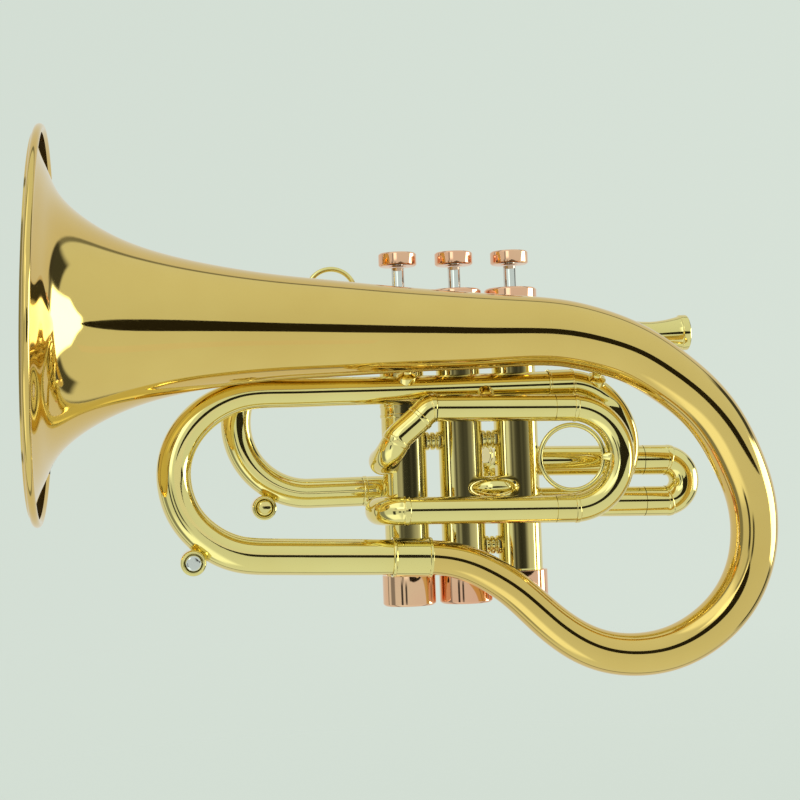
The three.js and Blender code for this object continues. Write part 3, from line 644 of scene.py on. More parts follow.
def bell_path():
    """Path of flare, stem and crook, and its number of rows up to the join."""
    profile = smooth_profile(FLARE, FLARE_STIFFNESS)
    flare = vec([(x, BELL_Y, z, radius) for x, z, radius in profile if x < BELL_JOIN_X])
    crook = smooth_path([(x, BELL_Y, z, radius) for x, z, radius in FLARE[-3:]] + CROOK,
                        stiffness=6.0, count=700)
    crook = vec([row for row in crook if row[0] > BELL_JOIN_X or row[2] < 90])
    # the step at the join fades out along the crook
    nearest = np.argmin(abs(crook[:, 0] - flare[-1, 0]) + 100 * (crook[:, 2] < 90))
    gap = flare[-1] - crook[nearest]
    crook = crook + gap * np.exp(-(arc_length(crook) / 30.0) ** 2)[:, None]
    return np.vstack([flare, crook[1:]]), len(flare)


def bell_stations(path, join):
    """Stations even along the surface of the flare, then even along the path."""
    along = arc_length(path)
    surface = running_total(np.hypot(np.diff(path[:join, 0]), np.diff(path[:join, 3])))
    stations, at = [], 0.0
    while at < surface[-1]:
        stations.append(float(np.interp(at, surface, along[:join])))
        at += 0.9 if at < 40 else 1.5
    at = along[join - 1]
    while at < along[-1] - 0.8:
        stations.append(at)
        at += 1.6
    return vec(stations + [along[-1]])


def bell_mesh():
    path, join = bell_path()
    stations = bell_stations(path, join)
    rows = resample(path, stations)
    centres, tangents, across, _ = frames(rows)
    # the flare's rings all face along the bell axis; the crook's follow the path
    follow = np.clip((stations - 150.0) / 25.0, 0, 1)[:, None]
    axis = vec([1, 0, BELL_SLOPE]) / math.hypot(1, BELL_SLOPE)
    tangents = unit_rows(axis * (1 - follow) + tangents * follow)
    across = unit_rows(across - tangents * (across * tangents).sum(1)[:, None])
    side = np.cross(tangents, across)
    verts = []

    def add_ring(i, radius, shift=0.0):
        verts.extend(ring_points(centres[i] + tangents[i] * shift, across[i], side[i],
                                 radius, BELL_SIDES))

    # the wall keeps its thickness square to the sloping surface
    growth = np.gradient(rows[:, 3], stations)
    stretch = np.hypot(1, growth)
    count = len(rows)
    for i in range(count):
        add_ring(i, rows[i, 3])
    for i in range(count):
        add_ring(i, rows[i, 3] - BELL_WALL / stretch[i], BELL_WALL * growth[i] / stretch[i])
    faces = wall_faces(count, BELL_SIDES)
    # the edge rolls back over its wire
    rim = [(BEAD_CENTRE_R + BEAD_R * math.sin(math.radians(angle)),
            BEAD_X + BEAD_R * math.cos(math.radians(angle)))
           for angle in np.linspace(215, -25, 22)]
    rim += [(BEAD_INNER_R, 2.4), (BEAD_INNER_R, 0.9)]
    for radius, shift in rim:
        add_ring(0, radius, shift)
    chain = [count] + [2 * count + i for i in range(len(rim))] + [0]
    for here, beyond in zip(chain[:-1], chain[1:]):
        faces += band(here * BELL_SIDES, beyond * BELL_SIDES, BELL_SIDES)
    faces += band((count - 1) * BELL_SIDES, (2 * count - 1) * BELL_SIDES, BELL_SIDES)
    return verts, faces


make("bell", bell_mesh(), GOLD)

# ------------------------------------------------------------------ front bow and ferrules
bow_path = smooth_path(BOW, stiffness=2.0)
make("front_bow", tube(bow_path, wall=0.6, step=1.3, sides=64))

# ferrule outlines: radius, distance along the tube
TAIL_FERRULE = [(7.9, -8.7), (8.55, -8.7), (8.72, -8.3), (8.72, -7.5), (8.32, -7.2), (8.32, 7.0),
                (8.72, 7.3), (8.72, 8.1), (8.55, 8.5), (7.9, 8.5)]
BRANCH_FERRULE = [(6.2, -5.9), (6.55, -5.9), (6.66, -5.6), (6.66, -5.0), (6.42, -4.8),
                  (6.42, 4.6), (6.66, 4.8), (6.66, 5.4), (6.55, 5.7), (6.2, 5.7)]
make("tail_ferrule", turned(TAIL_FERRULE, origin=(-26.7, -19.2, 21.95), axis=(1, 0, -0.045),
                            sides=96, corner=0.18))
make("branch_ferrule", turned(BRANCH_FERRULE, origin=(42.6, -16.2, 94.86), axis=(1, 0, 0.004),
                              sides=80, corner=0.15))

# ------------------------------------------------------------------ valves
# piece, finish, moves with the piston, sides, corner radius, corner steps,
# outline as (radius, z)
VALVE_PARTS = [
    ("valve_casing", BRASS, False, 96, 0.15, 3, [
        (CASING_BORE, 2.4), (CASING_R, 2.4), (CASING_R, 13.2), (CASING_R, 82.6),
        (10.1, 82.8), (10.28, 83.2), (10.28, 84.2), (10.02, 84.5), (10.02, 87.2),
        (10.28, 87.5), (10.28, 88.4), (10.1, 88.8), (CASING_R, 89.0), (CASING_R, 133.1),
        (CASING_BORE, 133.1)]),
    ("bottom_cap", COPPER, False, 112, 0.25, 3, [
        (0, 0.35), (7.0, 0.35), (7.6, 0.0), (10.9, 0.0), (11.7, 0.8), (11.7, 13.2),
        (11.45, 13.4), (10.1, 13.4), (10.1, 1.9), (0, 1.9)]),
    ("top_cap", COPPER, False, 112, 0.22, 3, [
        (3.3, 133.4), (10.1, 133.4), (10.1, 129.6), (11.4, 129.6), (11.7, 130.0),
        (11.7, 138.5), (11.0, 139.2), (9.7, 139.2), (9.3, 138.8), (9.3, 134.6),
        (3.3, 134.6)]),
    ("cap_felt", FELT, False, 64, 0.3, 3, [
        (3.4, 134.7), (8.6, 134.7), (8.6, 136.1), (3.4, 136.1)]),
    ("valve_stem", NICKEL, True, 48, 0.2, 2, [
        (0, 84.3), (5.5, 84.3), (5.5, 86.6), (2.8, 87.4), (2.8, 149.5), (0, 149.5)]),
    ("finger_button", COPPER, True, 96, 0.3, 3, [
        (0, 149.85), (3.6, 149.85), (4.0, 150.15), (7.7, 150.15), (8.45, 150.75),
        (8.45, 155.4), (7.9, 156.0), (7.2, 156.0), (6.9, 155.75), (0, 155.35)]),
]
SPRING_TURNS, SPRING_R, SPRING_WIRE_R = 6.5, 6.2, 0.42
SPRING_BOTTOM, SPRING_TOP = 3.5, 31.0
SPRING_STEPS = 220


def valve_spring(x):
    angles = np.linspace(0, 2 * math.pi * SPRING_TURNS, SPRING_STEPS)
    rise = np.linspace(0, 1, SPRING_STEPS)
    path = np.stack([x + SPRING_R * np.cos(angles), SPRING_R * np.sin(angles),
                     SPRING_BOTTOM + (SPRING_TOP - SPRING_BOTTOM) * rise,
                     np.full(SPRING_STEPS, SPRING_WIRE_R)], 1)
    return solid_rod(path, 10)


for n, x in VALVES.items():
    for piece, finish, moves, sides, corner, steps, outline in VALVE_PARTS:
        make(f"{piece}_{n}", turned(outline, (x, 0, 0), (0, 0, 1), sides, corner, steps),
             finish, f"valve_{n}" if moves else "cornet_body")
    spring = make(f"valve_spring_{n}", valve_spring(x), STEEL, sharp=60)
    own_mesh(spring)
    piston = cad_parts[f"piston_{n}"]
    piston.data.materials.clear()
    piston.data.materials.append(NICKEL[0])

# ------------------------------------------------------------------ between the casings
make("knuckle_3_2", tube([(-15.6, 0, 41, 5.3), (-9.8, 0, 41, 5.3)], wall=0.6, step=0.8,
                         sides=48, start_valve=3, end_valve=2))

KNUCKLE_Z, KNUCKLE_R = 50.5, 5.05
KNUCKLE_2_1 = [(5.4, -7.5), (6.9, -9.4), (9.6, -11.5), (12.7, -12.3), (15.8, -11.5),
               (18.5, -9.4), (20.0, -7.5)]      # x, y
knuckle_path = smooth_path([(x, y, KNUCKLE_Z, KNUCKLE_R) for x, y in KNUCKLE_2_1],
                           stiffness=0.02, count=200)
make("knuckle_2_1", tube(knuckle_path, wall=0.6, step=0.7, start_valve=2, end_valve=1))

# spacer outline: radius, x from the middle
SPACER = [(0, -3.3), (4.15, -3.3), (4.15, -1.95), (3.7, -1.6), (3.1, -1.5), (3.1, -1.05),
          (3.7, -0.95), (4.0, -0.6), (4.0, 0.6), (3.7, 0.95), (3.1, 1.05), (3.1, 1.5),
          (3.7, 1.6), (4.15, 1.95), (4.15, 3.3), (0, 3.3)]
HALF_PITCH = PITCH / 2
for letter, x, z in (("a", -HALF_PITCH, 72.0), ("b", HALF_PITCH, 72.0), ("c", HALF_PITCH, 24.8)):
    blank = turned(SPACER, (x, 0, z), axis=(1, 0, 0), sides=48, corner=0.15, steps=2)
    casings = [casing_cutter(at, z - 9, z + 9) for at in (x - HALF_PITCH, x + HALF_PITCH)]
    make(f"casing_spacer_{letter}", no_folds(cut(blank, *casings)))


# ------------------------------------------------------------------ slides in sloping planes
def sloping(z, at_x):
    """Height of a tube axis that passes z at at_x, as a function of x."""
    return lambda x: z + SLOPE * (x - at_x)


def bow_centre(upper, lower, x):
    """Centre height and bend radius of the bow that joins two tube axes at x."""
    return (upper(x) + lower(x)) / 2, (upper(x) - lower(x)) / 2


def slide(y, upper, lower, leg_x, upper_seam, lower_seam, bow_x, leg_radius, bow_radius,
          wall, segments):
    """Two legs that start at leg_x, stepped up at the seams into a half-round bow."""
    centre_z, bend = bow_centre(upper, lower, bow_x)
    tilt = math.degrees(math.atan(SLOPE))

    def row(x, height, radius):
        return (x, y, height(x), radius)

    path = vec([row(leg_x, upper, leg_radius), row(upper_seam + 0.25, upper, leg_radius),
                row(upper_seam + 0.26, upper, bow_radius)]
               + arc_points(bow_x, centre_z, bend, 90 + tilt, -90 + tilt, segments, y,
                            bow_radius)
               + [row(lower_seam + 0.26, lower, bow_radius),
                  row(lower_seam + 0.25, lower, leg_radius), row(leg_x, lower, leg_radius)])
    along = arc_length(path)
    rings = [(along[3] + 1.6, 1.5, 0.26), (along[3 + segments] - 1.6, 1.5, 0.26)]
    # stations close together at each shoulder keep it square
    stations = [0.0, along[1] - 0.01, along[1], along[2], along[2] + 0.12]
    stations += list(np.arange(along[2] + 1.2, along[-3] - 0.6, 0.9))
    stations += [along[-3] - 0.12, along[-3], along[-2], along[-1]]
    for centre, width, _ in rings:
        stations.append(centre)
        for side in (-1, 1):
            edge = centre + side * width / 2
            stations += [edge + side * reach for reach in (0.2, 0, -0.2)]
    stations = vec(sorted(set(np.round(stations, 4))))
    rows = resample(path, stations)
    outer = rows[:, 3] + vec([ring_height(at, rings) for at in stations])
    inner = np.full(len(rows), leg_radius - wall)
    return hollow(rows, outer, inner, 56)[:2]


# ------------------------------------------------------------------ third valve slide
THIRD_Y, THIRD_R = -25.7, 5.95
THIRD_UPPER_SEAM, THIRD_LOWER_SEAM, THIRD_BOW_X = 37.0, 35.7, 44.25
third_upper = sloping(85.0, at_x=16)
third_lower = sloping(41.15, at_x=8)
third_z, third_bend = bow_centre(third_upper, third_lower, THIRD_BOW_X)


def third_upper_branch():
    """Elbow off the upper sleeve, slanted run down, and the turn into valve 3."""
    slant_start, slant_end = vec([-21.7, 82.1]), vec([-31.7, 73.7])     # x, z
    radius, turn_radius = 6.0, 6.05
    rows = [(x, THIRD_Y, third_upper(x), radius) for x in (-15.2, -16.6)]
    rows += [(x, THIRD_Y, z, radius) for x, z in ((-18.4, 85.2), (-20.0, 84.0), slant_start)]
    for part in np.linspace(0.15, 1, 8):
        x, z = slant_start * (1 - part) + slant_end * part
        rows.append((x, THIRD_Y, z, radius))
    # first turn, from the slant towards +Y: direction in x and z, then bend
    slant_x, slant_z, bend = -0.644, -0.765, 12.85
    for angle in np.linspace(0, math.pi / 2, 9)[1:]:
        rows.append((slant_end[0] + slant_x * 8.3 * math.sin(angle),
                     THIRD_Y + bend * (1 - math.cos(angle)),
                     slant_end[1] + slant_z * bend * math.sin(angle), turn_radius))
    # second turn, level, towards the casing
    x, y, z, _ = rows[-1]
    for angle in np.linspace(0, math.radians(76), 8)[1:]:
        rows.append((x + 11.5 * (1 - math.cos(angle)), y + 11.5 * math.sin(angle), z,
                     turn_radius))
    path = smooth_path(rows, stiffness=0.05, count=500)
    along = arc_length(path)

    def ring_near(x, z):
        past_turn = 9 * (path[:, 1] > THIRD_Y + 3)
        nearest = np.argmin(np.hypot(path[:, 0] - x, path[:, 2] - z) + past_turn)
        return (along[nearest], 1.5, 0.28)

    pipe = tube(path, wall=0.65, step=0.9,
                rings=[ring_near(-21.7, 81.6), ring_near(-32.6, 72.6), (0.9, 1.5, 0.28)])
    return biggest_island(cut(pipe, casing_cutter(VALVES[3], 50, 90, clearance=-0.03)))


def third_lower_bend():
    """Level turn from the lower sleeve into valve 3."""
    rows = [(-28.4, THIRD_Y, third_lower(-28.4), 6.1)]
    for angle in np.linspace(-90, -238, 13)[1:]:
        rows.append((-29.2 + 10.2 * math.cos(math.radians(angle)),
                     -13.6 + 12.1 * math.sin(math.radians(angle)), 42.25, 6.1))
    return tube(smooth_path(rows, stiffness=0.05, count=400), wall=0.65, step=0.8,
                end_valve=3, rings=[(0.9, 1.5, 0.28), (-0.9, 1.4, 0.4)])


def eased_rear_crook(path):
    """Rear crook, pushed in by up to half a millimetre where the slide's bow passes."""
    verts, faces = tube(path, wall=0.6, step=1.0, end_valve=1, rings=[(-0.9, 1.6, 0.45)])
    verts = vec(verts, float)
    for k, point in enumerate(verts.copy()):
        if not (45 < point[0] < 92 and point[2] > 60 and point[1] < -8):
            continue
        own = np.linalg.norm(path[:, :3] - point, axis=1)
        i = int(own.argmin())
        need = THIRD_R + 0.34 + max(path[i, 3] - own[i], 0.0)
        gap = None
        for pull in np.arange(0, 17.01, 0.5):
            run, rise = point[0] - THIRD_BOW_X - pull, point[2] - third_z
            if run > 0:
                reach = math.hypot(run, rise)
                on_axis = vec((THIRD_BOW_X + pull + third_bend * run / reach, THIRD_Y,
                               third_z + third_bend * rise / reach))
            else:
                on_axis = vec((point[0], THIRD_Y, third_upper(point[0])))
            distance = np.linalg.norm(point - on_axis)
            if gap is None or distance < gap:
                gap, nearest = distance, on_axis
        if gap < need:
            verts[k] = nearest + (point - nearest) * need / gap
    return verts, faces


make("third_upper_branch", third_upper_branch())
for piece, height, ends in (
        ("third_upper_sleeve", third_upper, (-14.9, THIRD_UPPER_SEAM)),
        ("third_lower_sleeve", third_lower, (-28.2, THIRD_LOWER_SEAM))):
    make(piece, tube([(x, THIRD_Y, height(x), THIRD_R) for x in ends], wall=0.5, step=3.0))
make("third_lower_bend", third_lower_bend())
make("third_slide",
     slide(THIRD_Y, third_upper, third_lower, leg_x=2.0, upper_seam=THIRD_UPPER_SEAM,
           lower_seam=THIRD_LOWER_SEAM, bow_x=THIRD_BOW_X, leg_radius=5.15,
           bow_radius=THIRD_R, wall=0.5, segments=48),
     body="third_slide_body")

rear_path = smooth_path(REAR, stiffness=1.0)
make("rear_crook", eased_rear_crook(rear_path))

# finger ring inside the bow, on a lug that flares to meet it
lug = solid_rod([(x, THIRD_Y, 62.3, radius)
                 for x, radius in ((57.8, 1.5), (58.6, 1.7), (60.0, 2.3), (61.6, 3.0))], 40)
lug = cut(lug, rod_cutter(arc_points(THIRD_BOW_X, third_z, third_bend, 40, -40, 24,
                                     THIRD_Y, THIRD_R)))
ring = torus((44.3, THIRD_Y, 62.45), radius=14.15, wire=1.05, around=112, sides=24)
make("third_slide_ring", union(ring, lug), body="third_slide_body")

# ------------------------------------------------------------------ first valve slide
FIRST_Y, FIRST_R, FIRST_SEAM = 6.0, 6.75, 84.8
first_upper = sloping(60.65, at_x=67)
first_lower = sloping(41.85, at_x=67)
for level, height in (("upper", first_upper), ("lower", first_lower)):
    make(f"first_{level}_sleeve",
         tube([(x, FIRST_Y, height(x), FIRST_R) for x in (34.2, FIRST_SEAM)],
              wall=0.6, step=2.5, start_valve=1, rings=[(1.3, 1.8, 0.4)]))
make("first_slide",
     slide(FIRST_Y, first_upper, first_lower, leg_x=47.0, upper_seam=FIRST_SEAM,
           lower_seam=FIRST_SEAM, bow_x=95.05, leg_radius=5.83, bow_radius=6.8,
           wall=0.53, segments=36),
     body="first_slide_body")

# ------------------------------------------------------------------ second valve slide
SECOND_X, SECOND_Y = 0.5, 0.8660254     # its direction away from valve 2
SECOND_UPPER, SECOND_LOWER = 65.0, 47.0
SECOND_R, SECOND_LEG_R, SECOND_BORE = 5.5, 4.7, 4.2


def outward(distance, z, radius):
    return (SECOND_X * distance, SECOND_Y * distance, z, radius)


for level, z in (("upper", SECOND_UPPER), ("lower", SECOND_LOWER)):
    make(f"second_{level}_sleeve",
         tube([outward(9.9, z, SECOND_R), outward(25, z, SECOND_R)], wall=0.5, step=1.2,
              start_valve=2, rings=[(1.3, 1.6, 0.35)]))


def second_slide():
    """Two legs, a half-round bow and a pull knob on its crown."""
    centre_z, bend = (SECOND_UPPER + SECOND_LOWER) / 2, (SECOND_UPPER - SECOND_LOWER) / 2
    segments = 36
    # a leg from its free end to the shoulder: distance, radius
    leg = [(11.5, SECOND_LEG_R), (25.25, SECOND_LEG_R), (25.26, SECOND_R)]
    rows = [outward(distance, SECOND_UPPER, radius) for distance, radius in leg]
    rows += [outward(30 + bend * math.sin(angle), centre_z + bend * math.cos(angle), SECOND_R)
             for angle in np.linspace(0, math.pi, segments + 1)]
    rows += [outward(distance, SECOND_LOWER, radius) for distance, radius in leg[::-1]]
    path = vec(rows)
    along = arc_length(path)
    pipe = tube(path, wall=path[:, 3] - SECOND_BORE, step=0.9,
                rings=[(along[3] - 1.2, 1.4, 0.24), (along[3 + segments] + 1.2, 1.4, 0.24)])
    outline = [(0, 0), (2.0, 0), (1.8, 2.4), (3.4, 3.0), (4.2, 4.4), (3.8, 6.0), (2.2, 6.6),
               (0, 6.7)]
    knob = turned(outline, outward(43.6, centre_z, 0)[:3], axis=(SECOND_X, SECOND_Y, 0),
                  sides=48, corner=0.3, steps=2)
    return no_folds(union(pipe, knob))


make("second_slide", second_slide(), body="second_slide_body")

# ------------------------------------------------------------------ leadpipe and receiver
MAIN_Y, MAIN_R, MAIN_BOW_X = 18.5, 6.7, -66.5
MAIN_UPPER, MAIN_LOWER = 114.7, 50.6
LOWER_SEAM, UPPER_SEAM = -42.6, -62.4
LEAD_SLOPE = 0.0279
RECEIVER_X = 86.5


def lead_height(x):
    """The leadpipe is level up to x = -38, then climbs."""
    return MAIN_UPPER + max(0.0, x + 38) * LEAD_SLOPE


# x, outer radius, wall
LEADPIPE = [(UPPER_SEAM, MAIN_R, 0.6), (-40, MAIN_R, 0.6), (-30, 6.6, 1.3), (-20, 6.45, 1.25),
            (-10, 6.3, 1.2), (10, 6.1, 1.1), (30, 5.9, 1.0), (60, 5.75, 0.95), (86.2, 5.6, 0.9)]
lead_path = vec([(x, MAIN_Y, lead_height(x), radius) for x, radius, _ in LEADPIPE])
lead_path[2, 2] = lead_height(-31)      # this station sits a touch under the climbing line
make("leadpipe", tube(lead_path, wall=[wall for _, _, wall in LEADPIPE], step=2.0,
                      rings=[(1.3, 1.5, 0.26)]))

# radius, distance along the leadpipe axis
RECEIVER = [(5.0, 0), (6.7, 0), (6.75, 0.8), (6.6, 2.2), (6.2, 4.6), (5.9, 8.7), (5.98, 12),
            (6.45, 16.5), (7.1, 20.0), (7.6, 22.3), (7.75, 22.7), (8.2, 22.9), (8.3, 23.3),
            (8.3, 25.9), (8.05, 26.3), (5.9, 26.4), (5.5, 25.4), (4.6, 4.0)]
make("receiver", turned(RECEIVER, (RECEIVER_X, MAIN_Y, lead_height(RECEIVER_X)),
                        axis=(1, 0, LEAD_SLOPE), sides=80, corner=0.15, steps=2))

# ------------------------------------------------------------------ main tuning slide
main_bend, main_z = (MAIN_UPPER - MAIN_LOWER) / 2, (MAIN_UPPER + MAIN_LOWER) / 2


def step_stations(path):
    """Extra stations, at no height, where row 2 of a path steps in radius."""
    return (arc_length(path)[2] + 0.1, 0.2, 0.0)


def main_lower_tube():
    """Lower tube, with a quarter turn into valve 3."""
    bend_x, bend = -34, 8.6
    rows = [(-63.5, 5.85), (LOWER_SEAM, 5.85), (LOWER_SEAM + 0.01, MAIN_R), (bend_x, MAIN_R)]
    rows = [(x, MAIN_Y, MAIN_LOWER, radius) for x, radius in rows]
    for angle in np.linspace(0, math.pi / 2, 13)[1:]:
        rows.append((bend_x + bend * math.sin(angle), MAIN_Y - bend * (1 - math.cos(angle)),
                     MAIN_LOWER, 6.6))
    path = vec(rows)
    return tube(path, wall=[0.5, 0.5] + [1.3] * (len(path) - 2), step=1.0, end_valve=3,
                rings=[step_stations(path), (arc_length(path)[2] + 1.3, 1.5, 0.26)])


def main_slide():
    """Upper leg and the half-round bow at the -X end."""
    rows = [(-40.5, 5.75), (UPPER_SEAM - 0.3, 5.75), (UPPER_SEAM - 0.31, MAIN_R)]
    path = vec([(x, MAIN_Y, MAIN_UPPER, radius) for x, radius in rows]
               + arc_points(MAIN_BOW_X, main_z, main_bend, 90, 270, 72, MAIN_Y, MAIN_R)
               + [(LOWER_SEAM - 0.3, MAIN_Y, MAIN_LOWER, MAIN_R)])
    return tube(path, wall=[0.55, 0.55, 1.5] + [0.55] * (len(path) - 3), step=1.0, sides=60,
                rings=[step_stations(path)])


make("main_lower_tube", main_lower_tube())
make("main_slide", main_slide(), body="main_slide_body")


# ------------------------------------------------------------------ water keys
def water_key(tag, x, z, start_y, end_y, tube_path, body, plunger_finish):
    """Barrel along Y, cut to sit on its tube, with a plunger at its -Y end."""
    length = end_y - start_y
    barrel = [(3.9, 0.3), (4.3, 0), (4.9, 0), (5.4, 0.6), (5.4, length - 0.9), (4.6, length),
              (1.0, length), (1.0, length - 1.6), (3.9, length - 1.6)]
    plunger = [(0, -1.15), (2.4, -1.05), (3.1, -0.75), (3.45, 0.0), (3.5, 0.6), (3.5, 6.0),
               (0, 6.0)]
    origin, axis = (x, start_y, z), (0, 1, 0)
    make(f"water_key_body_{tag}",
         cut(turned(barrel, origin, axis, sides=72, corner=0.2),
             rod_cutter(tube_path, clearance=0.04)), body=body)
    make(f"water_key_plunger_{tag}", turned(plunger, origin, axis, sides=56, corner=0.2),
         plunger_finish, f"water_key_{tag}_body")


water_key("bow", x=-120.4, z=23.9, start_y=-26.3, end_y=-11.3,
          tube_path=bow_path[(bow_path[:, 0] < -95) & (bow_path[:, 2] < 55)][::6],
          body="cornet_body", plunger_finish=NICKEL)
water_key("slide", x=-87.4, z=45.0, start_y=11.0, end_y=25.6,
          tube_path=arc_points(MAIN_BOW_X, main_z, main_bend, 205, 270, 24, MAIN_Y, MAIN_R),
          body="main_slide_body", plunger_finish=BRASS)

# ------------------------------------------------------------------ little finger ring
HOOK_X = -53.6
# y, z, radius of the stem, widening down to the leadpipe
HOOK_STEM = [(17.2, 130.2, 1.4), (17.3, 128.0, 1.5), (17.7, 124.5, 2.1), (18.1, 121.6, 3.2),
             (18.4, 119, 3.6)]
ring = torus((HOOK_X, 17.2, 140.6), radius=11.0, wire=1.15, around=96, sides=22)
stem = cut(solid_rod([(HOOK_X, *row) for row in HOOK_STEM], 36),
           rod_cutter([(x, MAIN_Y, MAIN_UPPER, MAIN_R) for x in (-62, -44)], clearance=0.28))
make("little_finger_ring", union(ring, stem))

# ------------------------------------------------------------------ braces, boss and posts
bell_cutter = rod_cutter(smooth_path(
    [(x, BELL_Y, z, radius) for x, z, radius in FLARE[8:]] + CROOK[:12],
    stiffness=4.0, count=300)[::4])
bow_cutter = rod_cutter(bow_path[(bow_path[:, 0] > -60) & (bow_path[:, 2] > 80)][::8])
rear_cutter = rod_cutter(rear_path[:260][::8])


def bell_brace(piece, start, end, tube_cutter, radius=2.3):
    """Turned brace from a tube to the bell, with a wide foot at its start."""
    start = vec(start, float)
    axis = vec(end, float) - start
    length = np.linalg.norm(axis)
    outline = [(0, 0), (radius * 1.95, 0), (radius * 1.95, 0.275 * length),
               (radius * 1.7, 0.30 * length), (radius * 0.95, 0.335 * length),
               (radius * 0.86, 0.37 * length), (radius * 1.1, 0.42 * length),
               (radius * 1.1, length), (0, length)]
    blank = turned(outline, start, axis, sides=56, corner=0.25, steps=2)
    make(piece, biggest_island(cut(blank, tube_cutter, bell_cutter)))


bell_brace("bell_brace_front", (-26.2, -16.2, 94.5), (-26.2, -28, 116), bow_cutter)
bell_brace("bell_brace_rear", (57.8, -15.4, 91.9), (59.5, -28, 110), rear_cutter)

# boss between the front bow's return and the third slide's upper sleeve
BOSS = [(0, -5.2), (2.2, -5.0), (3.4, -4.0), (3.95, -2), (3.95, 1.5), (3.3, 3.9), (2.0, 5.0),
        (0, 5.2)]
blank = turned(BOSS, (7.9, -21.6, 90.4), axis=(0, -0.7, -0.7), sides=56, corner=0.4)
sleeve = rod_cutter([(x, THIRD_Y, third_upper(x), THIRD_R) for x in (-10, 30)])
make("slide_boss", biggest_island(cut(blank, bow_cutter, sleeve)))

# posts from the casings of valves 1 and 3 to the leadpipe
LEAD_POST = [(0, 0), (3.2, 0), (3.2, 2.4), (2.3, 3.3), (2.3, 4.4), (3.2, 5.2), (3.2, 10), (0, 10)]
for n, z in ((1, 116.5), (3, 115.0)):
    x = VALVES[n]
    blank = turned(LEAD_POST, (x, 7.6, z), axis=(0, 1, 0), sides=48, corner=0.2, steps=2)
    make(f"leadpipe_post_{n}", biggest_island(cut(
        blank, casing_cutter(x, z - 12, z + 12), rod_cutter(lead_path[1:]))))

# ------------------------------------------------------------------ camera
# view direction: degrees from +Y towards +X, upwards, and roll
VIEW_AZIMUTH, VIEW_PITCH, VIEW_ROLL = 8.6, 2.2, 2.1
# the origin lies this far ahead of the camera, right of and below its axis
VIEW_DISTANCE, VIEW_RIGHT, VIEW_BELOW = 744.44444, 29.51111, 89.77778


def add_camera():
    azimuth, pitch, roll = map(math.radians, (VIEW_AZIMUTH, VIEW_PITCH, VIEW_ROLL))
    ahead = vec([math.sin(azimuth) * math.cos(pitch), math.cos(azimuth) * math.cos(pitch),
                 math.sin(pitch)])
    level = unit(np.cross(ahead, [0, 0, 1.0]))
    steep = np.cross(level, ahead)
    right = math.cos(roll) * level - math.sin(roll) * steep
    above = math.sin(roll) * level + math.cos(roll) * steep
    place = -(VIEW_RIGHT * right - VIEW_BELOW * above + VIEW_DISTANCE * ahead) * MM_TO_M
    data = bpy.data.cameras.new("camera")
    data.lens = 75.375
    data.sensor_width = 36.0
    data.clip_start, data.clip_end = 0.01, 50.0
    camera = bpy.data.objects.new("camera", data)
    SCENE.collection.objects.link(camera)
    rows = np.column_stack([right, above, -ahead, place]).tolist()
    camera.matrix_world = Matrix(rows + [[0, 0, 0, 1]])
    SCENE.camera = camera


add_camera()

# ------------------------------------------------------------------ world
BACKDROP = (0.662, 0.738, 0.665)
# soft-edged panels, later ones over earlier ones: azimuth from, to (degrees from -Y
# towards +X), elevation from, to, softness in azimuth and in elevation, brightness
DARK_ROOM = [
    (93, 118, 13, 31, 2, 3, 0.07),
    (93, 107, -38, -16, 2, 3, 0.09)]
# bright and dark panels on the -X side
LEFT_PANELS = [
    (-70, -24, 26, 70, 8, 8, 1.35),
    (-70, -24, -66, -24, 8, 8, 1.35),
    (-96, -74, -60, 60, 3, 10, 0.30),
    (-33, -13, 4, 34, 5, 3, 1.8),
    (-39, -31, 1, 22, 2, 3, 0.34),
    (-45, -36, -26, 1, 1.5, 3, 0.06),
    (-26, -18, -12, 0, 1.5, 2.5, 0.09)]
LAMP_LIMITS = (67, 106, -15, 13, 1.5, 1.5)      # as the panels, without brightness
LAMP_BRIGHTNESS = 5.0


